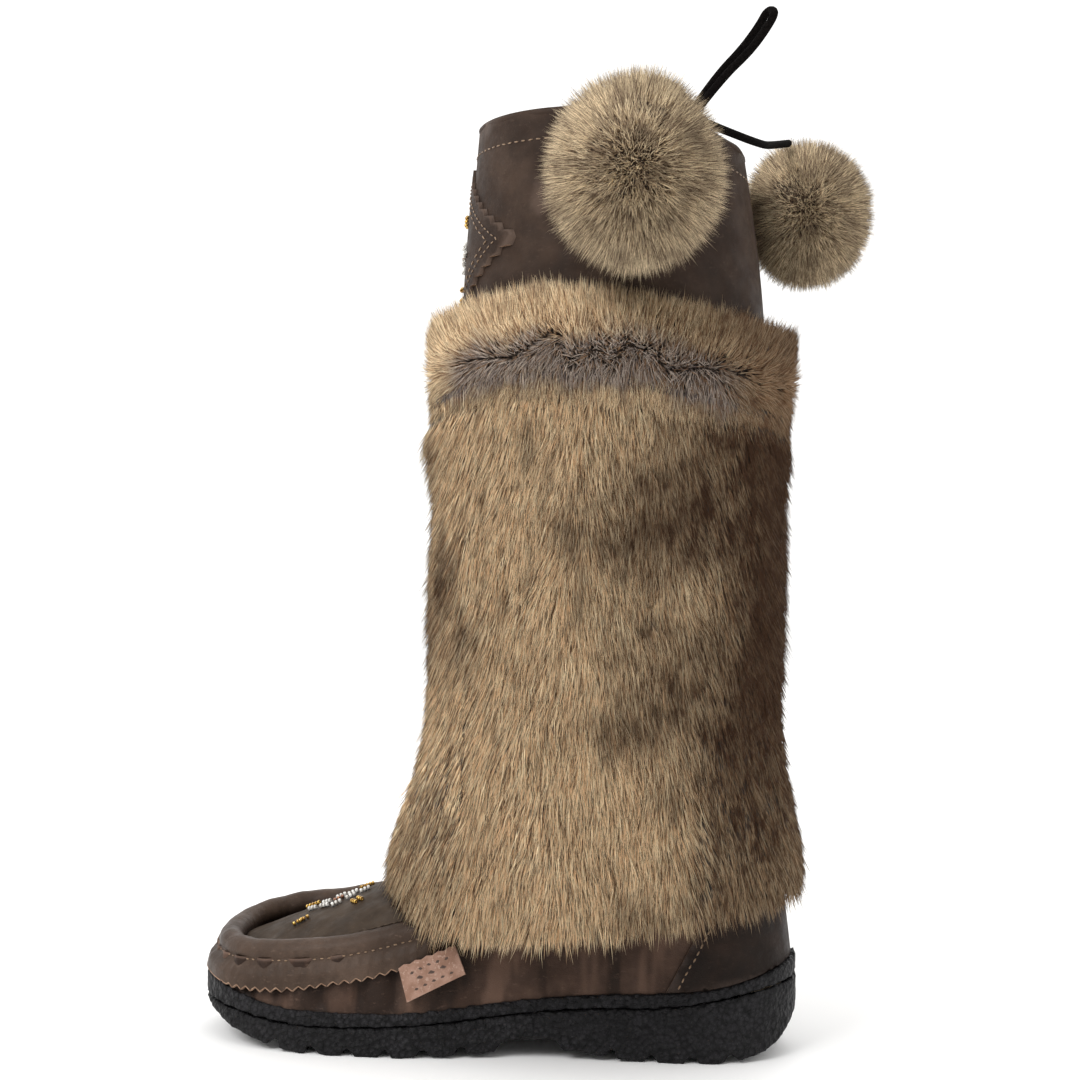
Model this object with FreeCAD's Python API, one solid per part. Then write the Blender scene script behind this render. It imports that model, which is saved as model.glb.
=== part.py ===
import FreeCAD, Part
import math
import os

# Fur-wrapped winter moccasin boot, left foot.
# Millimetres. Toe points to -X, the outer (lateral) side faces -Y, +Z is up.

# ---- sole and foot plan ----
SOLE_TOE = -138.5
SOLE_HEEL = 135.5
BALL_OUT = 50.0
BALL_IN = 48.0
WAIST_OUT = 41.0
WAIST_IN = 36.5
HEEL_HALF = 38.0
BALL_AT = 0.33
WAIST_AT = 0.60
SEAT_AT = 0.80
SOLE_BAND_STEP = 0.5
CUP_WALL = 2.8
GLUE_GAP = 0.15
TREAD_DEPTH = 3.7
TREAD_SLOT = 4.6
FORE_SLOTS = (-97.0, -13.0, 6)
HEEL_SLOTS = (53.0, 106.0, 4)
ARCH_START = 2.0
ARCH_END = 31.0
ARCH_HIGH = 8.5
TOE_ROUND_OUT = (3.2, 2.1)
TOE_ROUND_IN = (4.6, 2.1)
HEEL_ROUND = (2.3, 2.1)
PLAN_STEP = 0.12

# ---- side profiles of the foot (x, z) stations ----
RIM_LINE = ((-160, 30.5), (-137, 28.4), (-125, 26.6), (-112, 23.2), (-97, 20.3), (-72, 18.9), (-30, 20.8),
            (17, 26.8), (60, 30.0), (95, 32.4), (121, 39), (150, 52))
BAND_LINE = ((-160, 20), (-137, 18.2), (-114, 15.4), (-92, 12.6), (-60, 12.5), (-30, 14.6), (42, 22.8),
             (82, 24.8), (111, 30.4), (150, 36.5))
BOTTOM_LINE = ((-160, 40), (-138, 18.5), (-130, 12.8), (-121, 8.4), (-110, 4.8), (-98, 1.8), (-86, 0.0),
               (-72, -0.6), (-52, -0.6), (-25, 0.6), (2, 2.6), (31, 4.6), (50, 1.8), (68, -0.5), (95, -0.5),
               (112, 1.4), (124, 5.8), (133, 15), (150, 60))
BED_LINE = ((-160, 24.5), (-125, 16.8), (-105, 13.2), (-80, 12.2), (-30, 15.2), (20, 20.6), (60, 24.4),
            (100, 26.0), (150, 27.5))
ROOF_LINE = ((-160, 33.0), (-128, 40.0), (-115, 43.8), (-95, 51.6), (-80, 58.0), (-60, 66.4), (-40, 74.6),
             (-22, 83.5), (4, 93.5), (50, 99.0), (160, 100.0))
ROOF_TILT = 0.12
ROOF_R = 70.0
ROOF_REACH = 56.0
LEAN_LINE = ((0, 0.0), (30, 0.0), (70, 4.8), (135, 8.0))
FOOT_INSET = 3.0

# ---- leathers and linings ----
LEATHER = 2.0
STIFFENER = 1.1
LINING_FROM = 3.4
LINING_THICK = 3.4
FOOTBED_THICK = 4.5
BOARD_THICK = 1.8
SHANK_THICK = 1.2
SHANK_LONG = 104.0
SHANK_WIDE = 15.0
SHANK_MID_X = 22.0
ANKLE_MID_X = 50.0
ANKLE_RX = 70.0
ANKLE_RY = 30.0
OVERLAY = 1.5
SKIN_GAP = 0.1

# ---- moccasin seam ----
ROLL_R = 5.9
ROLL_SKIN = 1.4
ROLL_LINE = ((-160, 38.5), (-130, 41.9), (-112, 44.3), (-94, 46.2), (-71, 49.4), (-54, 53.2), (-36, 58.2),
             (-15, 64.5), (10, 73.0))
ROLL_TILT = 0.122
ROLL_INSET = 7.55
ROLL_SWEEP = 0.447
SKIRT_DROP = 1.2
SKIRT_LINE = ((-160, 30.0), (-137, 30.0), (-124, 30.2), (-110, 31.4), (-92, 34.6), (-71, 38.7), (-50, 44.4),
              (-28, 52.4), (0, 64.0))
PLUG_END_X = -38.0
PLUG_DEEP = 17.0
SKIRT_END_X = -27.0
PINK_PITCH = 5.7
PINK_DEEP = 2.0
TAB_OUT = -49.0
COUNTER_LOW_X = 76.0
COUNTER_HIGH_X = 89.0

# ---- shaft ----
SHAFT_FRONT = (-30.0, -24.0, -18.5)
SHAFT_BACK = (129.5, 116.5, 102.5)
SHAFT_SIDE = (37.5, 57.0, 56.0)
SHAFT_LEVELS = (60.0, 300.0, 420.0)
RIM_TOP = 419.0
RIM_DIP = 11.0
HEM_TALL = 13.0
LINING_TOP_DROP = 15.5
CASING_START = 0.345
CASING_TURNS = 22
CASING_INSET = 4.0
CASING_DROP = 7.2

# ---- front patch ----
PATCH_MID_Z = 363.5
PATCH_HALF_TALL = 38.0
PATCH_HALF_WIDE = 45.0
BEAD_R = 1.15
BEAD_LIFT = 0.6

# ---- fur ----
FUR_GAP = 2.0
FUR_FRONT_X = -12.0
FUR_BACK_X = 88.0
FUR_SEAM = 0.2
FUR_OUT_FRONT = -37.5
FUR_OUT_BACK = 127.0
FUR_HALF = 74.5
FLARE_TOP = 150.0
FLARE_TALL = 60.0
FLARE_FRONT = 15.5
FLARE_BACK = 11.0
FLARE_SIDE = 2.5
FLARE_SQUARE = 0.35
HEM_LINE = ((-90, 66), (-50, 61), (-26, 53.5), (6, 52.5), (50, 57.5), (90, 66), (128, 74), (170, 78))
FUR_TOP_LINE = ((-80, 318), (-36, 322.5), (-12, 329), (25, 333), (55, 330), (90, 324), (126, 318.5),
                (180, 312))
ROLL_TALL = 36.0

# ---- lace and pompoms ----
LACE_D = 3.6
KNOT = (81.0, -51.5, 414.5)
KNOT_R = 4.9
NEAR_POM = (57.6, -96.8, 381.5)
NEAR_POM_R = (36.5, 36.5, 40.5)
FAR_POM = (135.5, 43.5, 389.5)
FAR_POM_R = (30.5, 30.5, 35.0)
LOOP_SIDE = FreeCAD.Vector(1.75, -3.95, -1.45)


def vec(x, y, z):
    return FreeCAD.Vector(x, y, z)


def spline(points, closed=False):
    curve = Part.BSplineCurve()
    curve.interpolate(points, PeriodicFlag=closed)
    return curve


def height(line, x):
    # smooth height of a side profile at x
    hit = spline([vec(px, 0, pz) for px, pz in line])
    low = hit.FirstParameter
    high = hit.LastParameter
    for step in range(40):
        mid = (low + high) / 2
        if hit.value(mid).x < x:
            low = mid
        else:
            high = mid
    return hit.value(low).z


def above(line, lift=0.0, ceiling=700.0, tilt=0.0):
    # everything over a side profile, right across the boot
    points = [vec(x, 0, z + lift) for x, z in line]
    curve = spline(points).toShape()
    first = points[0]
    last = points[-1]
    up_a = vec(last.x, 0, ceiling)
    up_b = vec(first.x, 0, ceiling)
    sides = [Part.makeLine(last, up_a), Part.makeLine(up_a, up_b), Part.makeLine(up_b, first)]
    face = Part.Face(Part.Wire([curve] + sides))
    face.translate(vec(0, -130, -130 * tilt))
    return face.extrude(vec(0, 260, 260 * tilt))


def below(line, lift=0.0, floor=-120.0, tilt=0.0):
    return above(line, lift, floor, tilt)


def side_half(s, ball, waist, toe):
    # half width of the sole along its length, s from toe 0 to heel 1
    if s < BALL_AT:
        u = 1 - s / BALL_AT
        return ball * (1 - u ** toe[0]) ** (1 / toe[1])
    if s < WAIST_AT:
        u = (s - BALL_AT) / (WAIST_AT - BALL_AT)
        return ball + (waist - ball) * (1 - math.cos(math.pi * u)) / 2
    if s < SEAT_AT:
        u = (s - WAIST_AT) / (SEAT_AT - WAIST_AT)
        return waist + (HEEL_HALF - waist) * (1 - math.cos(math.pi * u)) / 2
    u = (s - SEAT_AT) / (1 - SEAT_AT)
    return HEEL_HALF * max(0.0, 1 - u ** HEEL_ROUND[0]) ** (1 / HEEL_ROUND[1])


def sole_plan(angle):
    # point of the sole outline; angle 0 at the toe, growing round the outer side
    s = (1 - math.cos(angle)) / 2
    x = SOLE_TOE + (SOLE_HEEL - SOLE_TOE) * s
    if math.sin(angle) >= 0:
        return x, -side_half(s, BALL_OUT, WAIST_OUT, TOE_ROUND_OUT)
    return x, side_half(s, BALL_IN, WAIST_IN, TOE_ROUND_IN)


def inset_plan(angle, inset):
    # the outline's point at this angle, moved inwards at right angles to it
    x, y = sole_plan(angle)
    ax, ay = sole_plan(angle - PLAN_STEP)
    bx, by = sole_plan(angle + PLAN_STEP)
    size = math.hypot(bx - ax, by - ay)
    return x - inset * (by - ay) / size, y + inset * (bx - ax) / size


def plan_ring(inset, z, count=30):
    points = []
    for i in range(count):
        x, y = inset_plan(2 * math.pi * (i + 0.5) / count, inset)
        points.append(vec(x, y, z))
    return points


def plan_prism(inset, low, high):
    wire = Part.Wire([spline(plan_ring(inset, low), True).toShape()])
    return Part.Face(wire).extrude(vec(0, 0, high - low))


def loft(rings):
    wires = [Part.Wire([spline(ring, True).toShape()]) for ring in rings]
    return Part.makeLoft(wires, True)


def foot_block(inset):
    # foot walls with a slight inward lean, inset from the leather's outer face
    return loft([plan_ring(FOOT_INSET + inset + lean, z) for z, lean in LEAN_LINE])


def roof_rise(y):
    # height of the crowned, tilted foot top at y, over its own middle line
    return ROOF_TILT * y - ROOF_R + math.sqrt(ROOF_R ** 2 - y ** 2)


def roof_block(drop):
    # everything under the crowned, tilted top of the foot
    sections = []
    for i in range(9):
        x = -158.0 + 316.0 * i / 8
        z = height(ROOF_LINE, x) - drop
        left = vec(x, -ROOF_REACH, z + roof_rise(-ROOF_REACH))
        right = vec(x, ROOF_REACH, z + roof_rise(ROOF_REACH))
        arc = Part.Arc(left, vec(x, 0, z), right).toShape()
        low_r = vec(x, ROOF_REACH, -60)
        low_l = vec(x, -ROOF_REACH, -60)
        lines = [Part.makeLine(right, low_r), Part.makeLine(low_r, low_l), Part.makeLine(low_l, left)]
        sections.append(Part.Wire([arc] + lines))
    return Part.makeLoft(sections, True)


def foot_solid(inset, floor_lift=None):
    if floor_lift is None:
        floor_lift = inset
    body = foot_block(inset).common(roof_block(inset))
    return body.common(above(BED_LINE, floor_lift))


def blend3(values, z):
    # smooth value through the three shaft levels
    low, mid, high = SHAFT_LEVELS
    if z <= mid:
        u = max(0.0, (z - low) / (mid - low))
        return values[0] + (values[1] - values[0]) * math.sin(math.pi / 2 * u) ** 1.2
    u = (z - mid) / (high - mid)
    return values[1] + (values[2] - values[1]) * u ** 1.5


def oval(front, back, side, z, power=2.0, count=20):
    mid = (front + back) / 2
    rx = (back - front) / 2
    points = []
    for i in range(count):
        angle = 2 * math.pi * (i + 0.5) / count
        cx = math.cos(angle)
        cy = math.sin(angle)
        grow = (abs(cx) ** power + abs(cy) ** power) ** (-1 / power)
        points.append(vec(mid - rx * grow * cx, -side * grow * cy, z))
    return points


def shaft_ring(inset, z):
    front = blend3(SHAFT_FRONT, z) + inset
    back = blend3(SHAFT_BACK, z) - inset
    return oval(front, back, blend3(SHAFT_SIDE, z) - inset, z)


def shaft_block(inset, low=62.0, high=440.0):
    levels = 7
    return loft([shaft_ring(inset, low + (high - low) * i / (levels - 1)) for i in range(levels)])


def rim_line(drop):
    # the rim is level at the front and dips towards the back
    stations = []
    for x in (-60.0, 0.0, 30.0, 55.0, 80.0, 104.0, 150.0):
        u = max(0.0, (x - 40.0) / 64.0)
        stations.append((x, RIM_TOP - drop - RIM_DIP * min(u, 1.3) ** 1.6))
    return tuple(stations)


def tube(points, radius, closed=False):
    # round tube along a smooth path
    curve = spline(points, closed)
    path = Part.Wire([curve.toShape()])
    start = curve.value(curve.FirstParameter)
    way = curve.tangent(curve.FirstParameter)[0]
    ring = Part.Wire([Part.makeCircle(radius, start, way)])
    return path.makePipeShell([ring], True, True)


def corded(points, diameter, name):
    # round cord of straight runs joined by tangent arcs
    edges = []
    radii = []
    here = points[0]
    for i in range(1, len(points) - 1):
        into = points[i] - points[i - 1]
        away = points[i + 1] - points[i]
        turn = into.getAngle(away)
        shorter = min(into.Length, away.Length)
        cut = 0.45 * shorter
        radii.append(cut / math.tan(turn / 2))
        into.normalize()
        away.normalize()
        a = points[i] - into * cut
        b = points[i] + away * cut
        centre_way = (away - into).normalize()
        radius = radii[-1]
        centre = points[i] + centre_way * (radius / math.cos(turn / 2))
        middle = centre - centre_way * radius
        edges.append(Part.makeLine(here, a))
        edges.append(Part.Arc(a, middle, b).toShape())
        here = b
    edges.append(Part.makeLine(here, points[-1]))
    path = Part.Wire(edges)
    way = points[1] - points[0]
    ring = Part.Wire([Part.makeCircle(diameter / 2, points[0], way)])
    body = path.makePipeShell([ring], True, True, 1)
    full = math.pi * diameter ** 2 / 4 * path.Length
    print(name, "length", round(path.Length, 1), "radii", [round(r, 1) for r in radii],
          "volume ratio", round(body.Volume / full, 3))
    return body


def egg(centre, radii):
    ball = Part.makeSphere(1.0)
    grow = FreeCAD.Matrix()
    grow.scale(radii[0], radii[1], radii[2])
    ball = ball.transformGeometry(grow)
    ball.translate(vec(centre[0], centre[1], centre[2]))
    return ball


def block(x0, x1, y0, y1, z0, z1):
    return Part.makeBox(x1 - x0, y1 - y0, z1 - z0, vec(x0, y0, z0))


def prism_xz(points, y0, y1, tilt=0.0):
    ring = [vec(x, y0, z + y0 * tilt) for x, z in points]
    wire = Part.makePolygon(ring + [ring[0]])
    return Part.Face(wire).extrude(vec(0, y1 - y0, (y1 - y0) * tilt))


def prism_yz(points, x0, x1):
    wire = Part.makePolygon([vec(x0, y, z) for y, z in points] + [vec(x0, points[0][0], points[0][1])])
    return Part.Face(wire).extrude(vec(x1 - x0, 0, 0))


def pinked(corners):
    # zigzag edge between corner points of a flat outline
    out = []
    total = len(corners)
    for i in range(total):
        ax, ay = corners[i]
        bx, by = corners[(i + 1) % total]
        size = math.hypot(bx - ax, by - ay)
        teeth = max(1, round(size / PINK_PITCH))
        nx = (by - ay) / size
        ny = -(bx - ax) / size
        for k in range(teeth):
            u = k / teeth
            out.append((ax + (bx - ax) * u, ay + (by - ay) * u))
            u = (k + 0.5) / teeth
            out.append((ax + (bx - ax) * u - nx * PINK_DEEP, ay + (by - ay) * u - ny * PINK_DEEP))
    return out


def save(name, shape):
    solids = [s for s in shape.Solids if s.Volume > 0.2]
    solids.sort(key=lambda s: -s.Volume)
    keep = [s for s in solids if s.Volume > solids[0].Volume * 0.004]
    shape = keep[0] if len(keep) == 1 else Part.makeCompound(keep)
    shape.exportStep("parts/" + name + ".step")
    box = shape.BoundBox
    print("%-18s solids %3d valid %s vol %9.0f  X %7.1f %7.1f Y %7.1f %7.1f Z %7.1f %7.1f" % (
        name, len(keep), shape.isValid(), shape.Volume, box.XMin, box.XMax, box.YMin, box.YMax,
        box.ZMin, box.ZMax))
    return shape


os.makedirs("parts", exist_ok=True)

# ---- sole unit: lugged outsole and the raised band that cups the leather ----
pocket = foot_block(-(FOOT_INSET - CUP_WALL)).common(above(BED_LINE, -GLUE_GAP))
outsole = plan_prism(0, -5, 80).common(above(BOTTOM_LINE)).common(below(BAND_LINE)).cut(pocket)
arch = ((ARCH_START, -9), (ARCH_START + 0.8, ARCH_HIGH - 1.5), (ARCH_START + 12, ARCH_HIGH),
        (ARCH_END - 2, ARCH_HIGH + 0.5), (ARCH_END, 4.6), (ARCH_END + 0.5, -9))
outsole = outsole.cut(prism_xz(arch, -80, 80)).cut(block(-200, 200, -90, 90, -20, 0))
for first, last, count in (FORE_SLOTS, HEEL_SLOTS):
    for i in range(count):
        x = first + (last - first) * i / (count - 1)
        top = height(BOTTOM_LINE, x) + TREAD_DEPTH
        outsole = outsole.cut(block(x - TREAD_SLOT / 2, x + TREAD_SLOT / 2, -80, 80, -9, top))
save("outsole", outsole)
band = plan_prism(SOLE_BAND_STEP, -5, 80).common(above(BAND_LINE, GLUE_GAP)).common(below(RIM_LINE))
save("midsole", band.cut(pocket))

# ---- foot leathers ----
roll_path = []
for i in range(17):
    px, py = inset_plan(-math.pi * (i - 8) / 8 * ROLL_SWEEP, ROLL_INSET + FOOT_INSET)
    roll_path.append(vec(px, py, height(ROLL_LINE, px) + ROLL_TILT * py))
roll_outer = tube(roll_path, ROLL_R)
roll_core = tube(roll_path, ROLL_R - ROLL_SKIN)
roll_room = tube(roll_path, ROLL_R + GLUE_GAP)
plug_plan = plan_prism(FOOT_INSET + ROLL_INSET, 0, 160).common(block(-150, 0, -80, 80, 0, 160))

foot_outer = foot_solid(0)
ankle_hole = loft([oval(ANKLE_MID_X - ANKLE_RX, ANKLE_MID_X + ANKLE_RX, ANKLE_RY, z) for z in (50.0, 150.0)])
foot_leather = foot_outer.cut(foot_solid(LEATHER)).cut(ankle_hole.common(block(-200, 200, -90, 90, 60, 200)))
foot_leather = foot_leather.cut(roll_room)
plug_room = plug_plan.common(above(ROOF_LINE, -PLUG_DEEP, 200))
roof_part = foot_leather.common(plug_room)
side_leather = foot_leather.cut(plug_room)
save("moccasin_bottom", side_leather)
plug = roof_part.common(block(-150, PLUG_END_X, -80, 80, 20, 160))
save("plug", plug)
save("instep_panel", roof_part.common(block(PLUG_END_X + GLUE_GAP, 0, -80, 80, 20, 160)))
save("collar_roll", roll_outer.cut(roll_core))
save("collar_filler", tube(roll_path, ROLL_R - ROLL_SKIN - GLUE_GAP))

# ---- pinked skirt hanging from the moccasin seam over the side leather ----
wrap = foot_block(-OVERLAY - SKIN_GAP).cut(foot_block(-SKIN_GAP))
skirt = wrap.common(below(ROLL_LINE, -SKIRT_DROP, -120, ROLL_TILT))
teeth = []
step_x = PINK_PITCH / 2
count = int((SKIRT_END_X + 150) / step_x)
for i in range(count + 1):
    x = -150 + i * step_x
    teeth.append((x, height(SKIRT_LINE, x) + (PINK_DEEP / 2 if i % 2 else -PINK_DEEP / 2)))
saw = prism_xz(teeth + [(SKIRT_END_X, 150), (-150, 150)], -100, 100, ROLL_TILT)
skirt = skirt.common(saw).common(block(-150, SKIRT_END_X, -90, 90, 10, 90)).cut(roll_room)
skirt = skirt.cut(above(RIM_LINE, -60, 200).common(below(RIM_LINE, 0.3)))
save("pinked_skirt", skirt)

# ---- heel counter patch and its hidden stiffeners ----
behind = prism_xz(((COUNTER_LOW_X - 6, 18), (COUNTER_HIGH_X + 6, 66), (200, 66), (200, 18)), -90, 90)
counter = wrap.common(behind).common(above(RIM_LINE, 0.3)).common(block(0, 200, -90, 90, 0, 74))
save("heel_counter", counter)
stiff = foot_solid(LEATHER + GLUE_GAP, 5.6).cut(foot_solid(LEATHER + GLUE_GAP + STIFFENER, -20))
save("heel_stiffener", stiff.common(block(74, 200, -90, 90, 0, 84)))
save("toe_puff", stiff.common(block(-200, -98, -90, 90, 0, 90)).cut(roll_room))

# ---- linings, board, shank and footbed ----
inner = foot_solid(LINING_FROM, LEATHER + GLUE_GAP)
bed_top = LEATHER + SHANK_THICK + BOARD_THICK + 3 * GLUE_GAP
lining = foot_solid(LINING_FROM, bed_top).cut(foot_solid(LINING_FROM + LINING_THICK, -20))
lining = lining.cut(ankle_hole.common(block(-200, 200, -90, 90, 55, 200))).cut(roll_room)
save("foot_lining", lining)
board = inner.common(below(BED_LINE, bed_top - GLUE_GAP))
board = board.common(above(BED_LINE, LEATHER + SHANK_THICK + 2 * GLUE_GAP))
save("insole_board", board)
shank_plan = block(SHANK_MID_X - SHANK_LONG / 2, SHANK_MID_X + SHANK_LONG / 2, -SHANK_WIDE / 2,
                   SHANK_WIDE / 2, 0, 60)
shank = shank_plan.common(above(BED_LINE, LEATHER + GLUE_GAP))
save("shank", shank.common(below(BED_LINE, LEATHER + GLUE_GAP + SHANK_THICK)))
bed = foot_solid(LINING_FROM + LINING_THICK + 0.3, bed_top)
save("footbed", bed.common(below(BED_LINE, bed_top + FOOTBED_THICK)))

# ---- shaft leather, drawcord casing and lining ----
over_foot = roof_block(-GLUE_GAP)
shaft_shell = shaft_block(0).cut(shaft_block(LEATHER)).cut(over_foot).common(below(rim_line(0)))
casing_path = []
casing_ring = spline(shaft_ring(CASING_INSET, RIM_TOP - 2 * CASING_INSET), True)
for i in range(1, CASING_TURNS):
    u = (CASING_START + i / CASING_TURNS) % 1.0
    span = casing_ring.LastParameter - casing_ring.FirstParameter
    point = casing_ring.value(casing_ring.FirstParameter + span * u)
    casing_path.append(vec(point.x, point.y, height(rim_line(CASING_DROP), point.x)))
exit_low = vec(KNOT[0] + 3.0, KNOT[1] + 2.6, KNOT[2] - 3.6)
exit_high = vec(KNOT[0] - 4.4, KNOT[1] + 1.0, KNOT[2] - 2.0)
draw_points = [exit_low] + casing_path + [exit_high]
drawcord = tube(draw_points, LACE_D / 2)
draw_room = tube(draw_points, LACE_D / 2 + 0.35)
knot = Part.makeSphere(KNOT_R, vec(KNOT[0], KNOT[1], KNOT[2]))
save("shaft_leather", shaft_shell.cut(draw_room))
hem = shaft_block(LEATHER + SKIN_GAP).cut(shaft_block(LEATHER + 5.4))
hem = hem.common(below(rim_line(0.2))).common(above(rim_line(HEM_TALL)))
slot = shaft_block(LEATHER + SKIN_GAP / 2).cut(shaft_block(LEATHER + 4.1))
slot = slot.common(below(rim_line(1.8))).common(above(rim_line(HEM_TALL + 4)))
save("top_hem", hem.cut(slot).cut(draw_room))
save("lace_drawcord", drawcord.cut(Part.makeSphere(KNOT_R + 0.05, vec(KNOT[0], KNOT[1], KNOT[2]))))
shaft_lining = shaft_block(LEATHER + 0.3).cut(shaft_block(LEATHER + 0.3 + LINING_THICK)).cut(over_foot)
save("shaft_lining", shaft_lining.common(below(rim_line(LINING_TOP_DROP))))

# ---- diamond patch on the front of the shaft, pinked all round ----
diamond = ((0, PATCH_MID_Z + PATCH_HALF_TALL), (PATCH_HALF_WIDE, PATCH_MID_Z),
           (0, PATCH_MID_Z - PATCH_HALF_TALL), (-PATCH_HALF_WIDE, PATCH_MID_Z))
patch_prism = prism_yz(pinked(diamond), -60, 30)
patch = shaft_block(-OVERLAY).cut(shaft_block(-SKIN_GAP)).common(patch_prism)
save("front_patch", patch)

# ---- seed beads: flower on the patch and a row of flowers on the plug ----
beads = []
for ring_count, ring_r in ((1, 0.0), (6, 3.0), (12, 6.4), (14, 10.2)):
    for k in range(ring_count):
        angle = 2 * math.pi * k / ring_count
        y = ring_r * math.cos(angle) * 1.25
        z = PATCH_MID_Z - 2 + ring_r * math.sin(angle)
        ring = shaft_ring(-OVERLAY, z)
        mid = (ring[0].x + ring[9].x) / 2
        rx = abs(ring[9].x - ring[0].x) / 2 * 1.012
        ry = max(p.y for p in ring)
        x = mid - rx * math.sqrt(max(0.0, 1 - (y / ry) ** 2)) - BEAD_R - BEAD_LIFT
        beads.append(Part.makeSphere(BEAD_R, vec(x, y, z)))
for sign in (1, -1):
    for k in range(5):
        z = PATCH_MID_Z - 2 + sign * (15 + 2.4 * k)
        ring = shaft_ring(-OVERLAY, z)
        x = min(p.x for p in ring) - BEAD_R - 2 * BEAD_LIFT
        beads.append(Part.makeSphere(BEAD_R, vec(x, 0, z)))
save("patch_beads", Part.makeCompound(beads))
beads = []


def plug_bead(x, y):
    # a bead resting just clear of the plug, whose top is felt for straight down
    felt = Part.makeLine(vec(x, y, 20), vec(x, y, 150)).common(plug)
    z = felt.BoundBox.ZMax + BEAD_R + BEAD_LIFT
    return Part.makeSphere(BEAD_R, vec(x, y, z))


for group in range(3):
    mid_x = -94 + group * 16.5
    for ring_count, ring_r in ((1, 0.0), (6, 3.1), (8, 6.4)):
        for k in range(ring_count):
            angle = 2 * math.pi * k / ring_count
            x = mid_x + ring_r * math.cos(angle)
            y = ring_r * math.sin(angle) * 0.8
            beads.append(plug_bead(x, y))
for mid_x, side in ((-92.0, -1), (-66.5, -1), (-92.0, 1), (-66.5, 1)):
    for k in range(4):
        x = mid_x + 2.5 * (k % 2)
        y = side * (13 + 2.5 * (k // 2))
        beads.append(plug_bead(x, y))
save("plug_beads", Part.makeCompound(beads))

# ---- small leather tab caught in the outer seam ----
tab_outline = ((-41.1, 40.7), (-16.7, 50.5), (-11.2, 38.3), (-36.5, 25.6))
tab = prism_xz(tab_outline, TAB_OUT, TAB_OUT + OVERLAY)
save("side_tab", tab)

# ---- fur: four hanging pelts and the folded roll at their top ----


def fur_ring(z):
    # the pelts flare out over the foot below FLARE_TOP
    low = max(0.0, min(1.0, (FLARE_TOP - z) / FLARE_TALL))
    ease = low * low * (3 - 2 * low)
    front = FUR_OUT_FRONT - FLARE_FRONT * ease
    back = FUR_OUT_BACK + FLARE_BACK * ease
    return oval(front, back, FUR_HALF - FLARE_SIDE * ease, z, 2.0 + FLARE_SQUARE * ease)


fur_all = loft([fur_ring(45.0 + 255.0 * i / 7) for i in range(8)]).common(above(HEM_LINE))
fur_all = fur_all.cut(shaft_block(-FUR_GAP, 40.0, 440.0))
foot_room = foot_block(-3.2).common(roof_block(-3.0))
fur_all = fur_all.cut(foot_room).cut(tube(roll_path, ROLL_R + FUR_GAP))
fur_all = fur_all.cut(above(FUR_TOP_LINE, -ROLL_TALL - 0.2))
front_cut = block(-200, FUR_FRONT_X, -120, 120, 0, 500)
back_cut = block(FUR_BACK_X, 250, -120, 120, 0, 500)
mid_low = block(FUR_FRONT_X + FUR_SEAM, FUR_BACK_X - FUR_SEAM, -120, 0, 0, 500)
mid_high = block(FUR_FRONT_X + FUR_SEAM, FUR_BACK_X - FUR_SEAM, 0, 120, 0, 500)
save("fur_front", fur_all.common(front_cut))
save("fur_back", fur_all.common(back_cut))
save("fur_outer_side", fur_all.common(mid_low))
save("fur_inner_side", fur_all.common(mid_high))
roll_rings = []
for z, grow in ((276.0, -3.5), (290.0, 0.0), (304.0, 1.6), (318.0, 1.0), (329.0, -3.5), (336.0, -9.0)):
    roll_rings.append(oval(FUR_OUT_FRONT - grow, FUR_OUT_BACK + grow, FUR_HALF + grow, z))
fold = loft(roll_rings).cut(shaft_block(-FUR_GAP, 250.0, 440.0))
fold = fold.common(above(FUR_TOP_LINE, -ROLL_TALL)).common(below(FUR_TOP_LINE))
save("fur_top_fold", fold)

# ---- lace knot, standing loop, two tails with pompoms ----
save("lace_knot", knot)
spine = (vec(82.6, -49.4, 420.0), vec(92.0, -45.0, 434.2), vec(103.0, -42.5, 446.0),
         vec(110.4, -42.0, 456.6), vec(114.0, -42.4, 463.6))
spread = (0.5, 0.75, 1.0, 1.0, 1.0)
strand_a = [p + LOOP_SIDE * k for p, k in zip(spine, spread)]
strand_b = [p - LOOP_SIDE * k for p, k in zip(spine, spread)]
loop_points = strand_a + strand_b[::-1]
save("lace_loop", corded(loop_points, LACE_D, "lace_loop"))
near_points = [vec(79.3, -56.4, 415.6), vec(77.6, -65.5, 418.8), vec(72.9, -76.0, 422.4),
               vec(65.6, -84.8, 422.6)]
save("near_tail", corded(near_points, LACE_D, "near_tail"))
far_points = [vec(86.1, -50.6, 412.6), vec(100.5, -41.0, 409.0), vec(111.0, -22.0, 409.5),
              vec(115.8, 2.0, 414.0), vec(125.4, 29.0, 421.0)]
save("far_tail", corded(far_points, LACE_D, "far_tail"))
save("pompom_near", egg(NEAR_POM, NEAR_POM_R))
save("pompom_far", egg(FAR_POM, FAR_POM_R))
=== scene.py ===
import bpy
import math
import random
import numpy as np
from mathutils import Matrix, Vector
from mathutils.bvhtree import BVHTree


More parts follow.
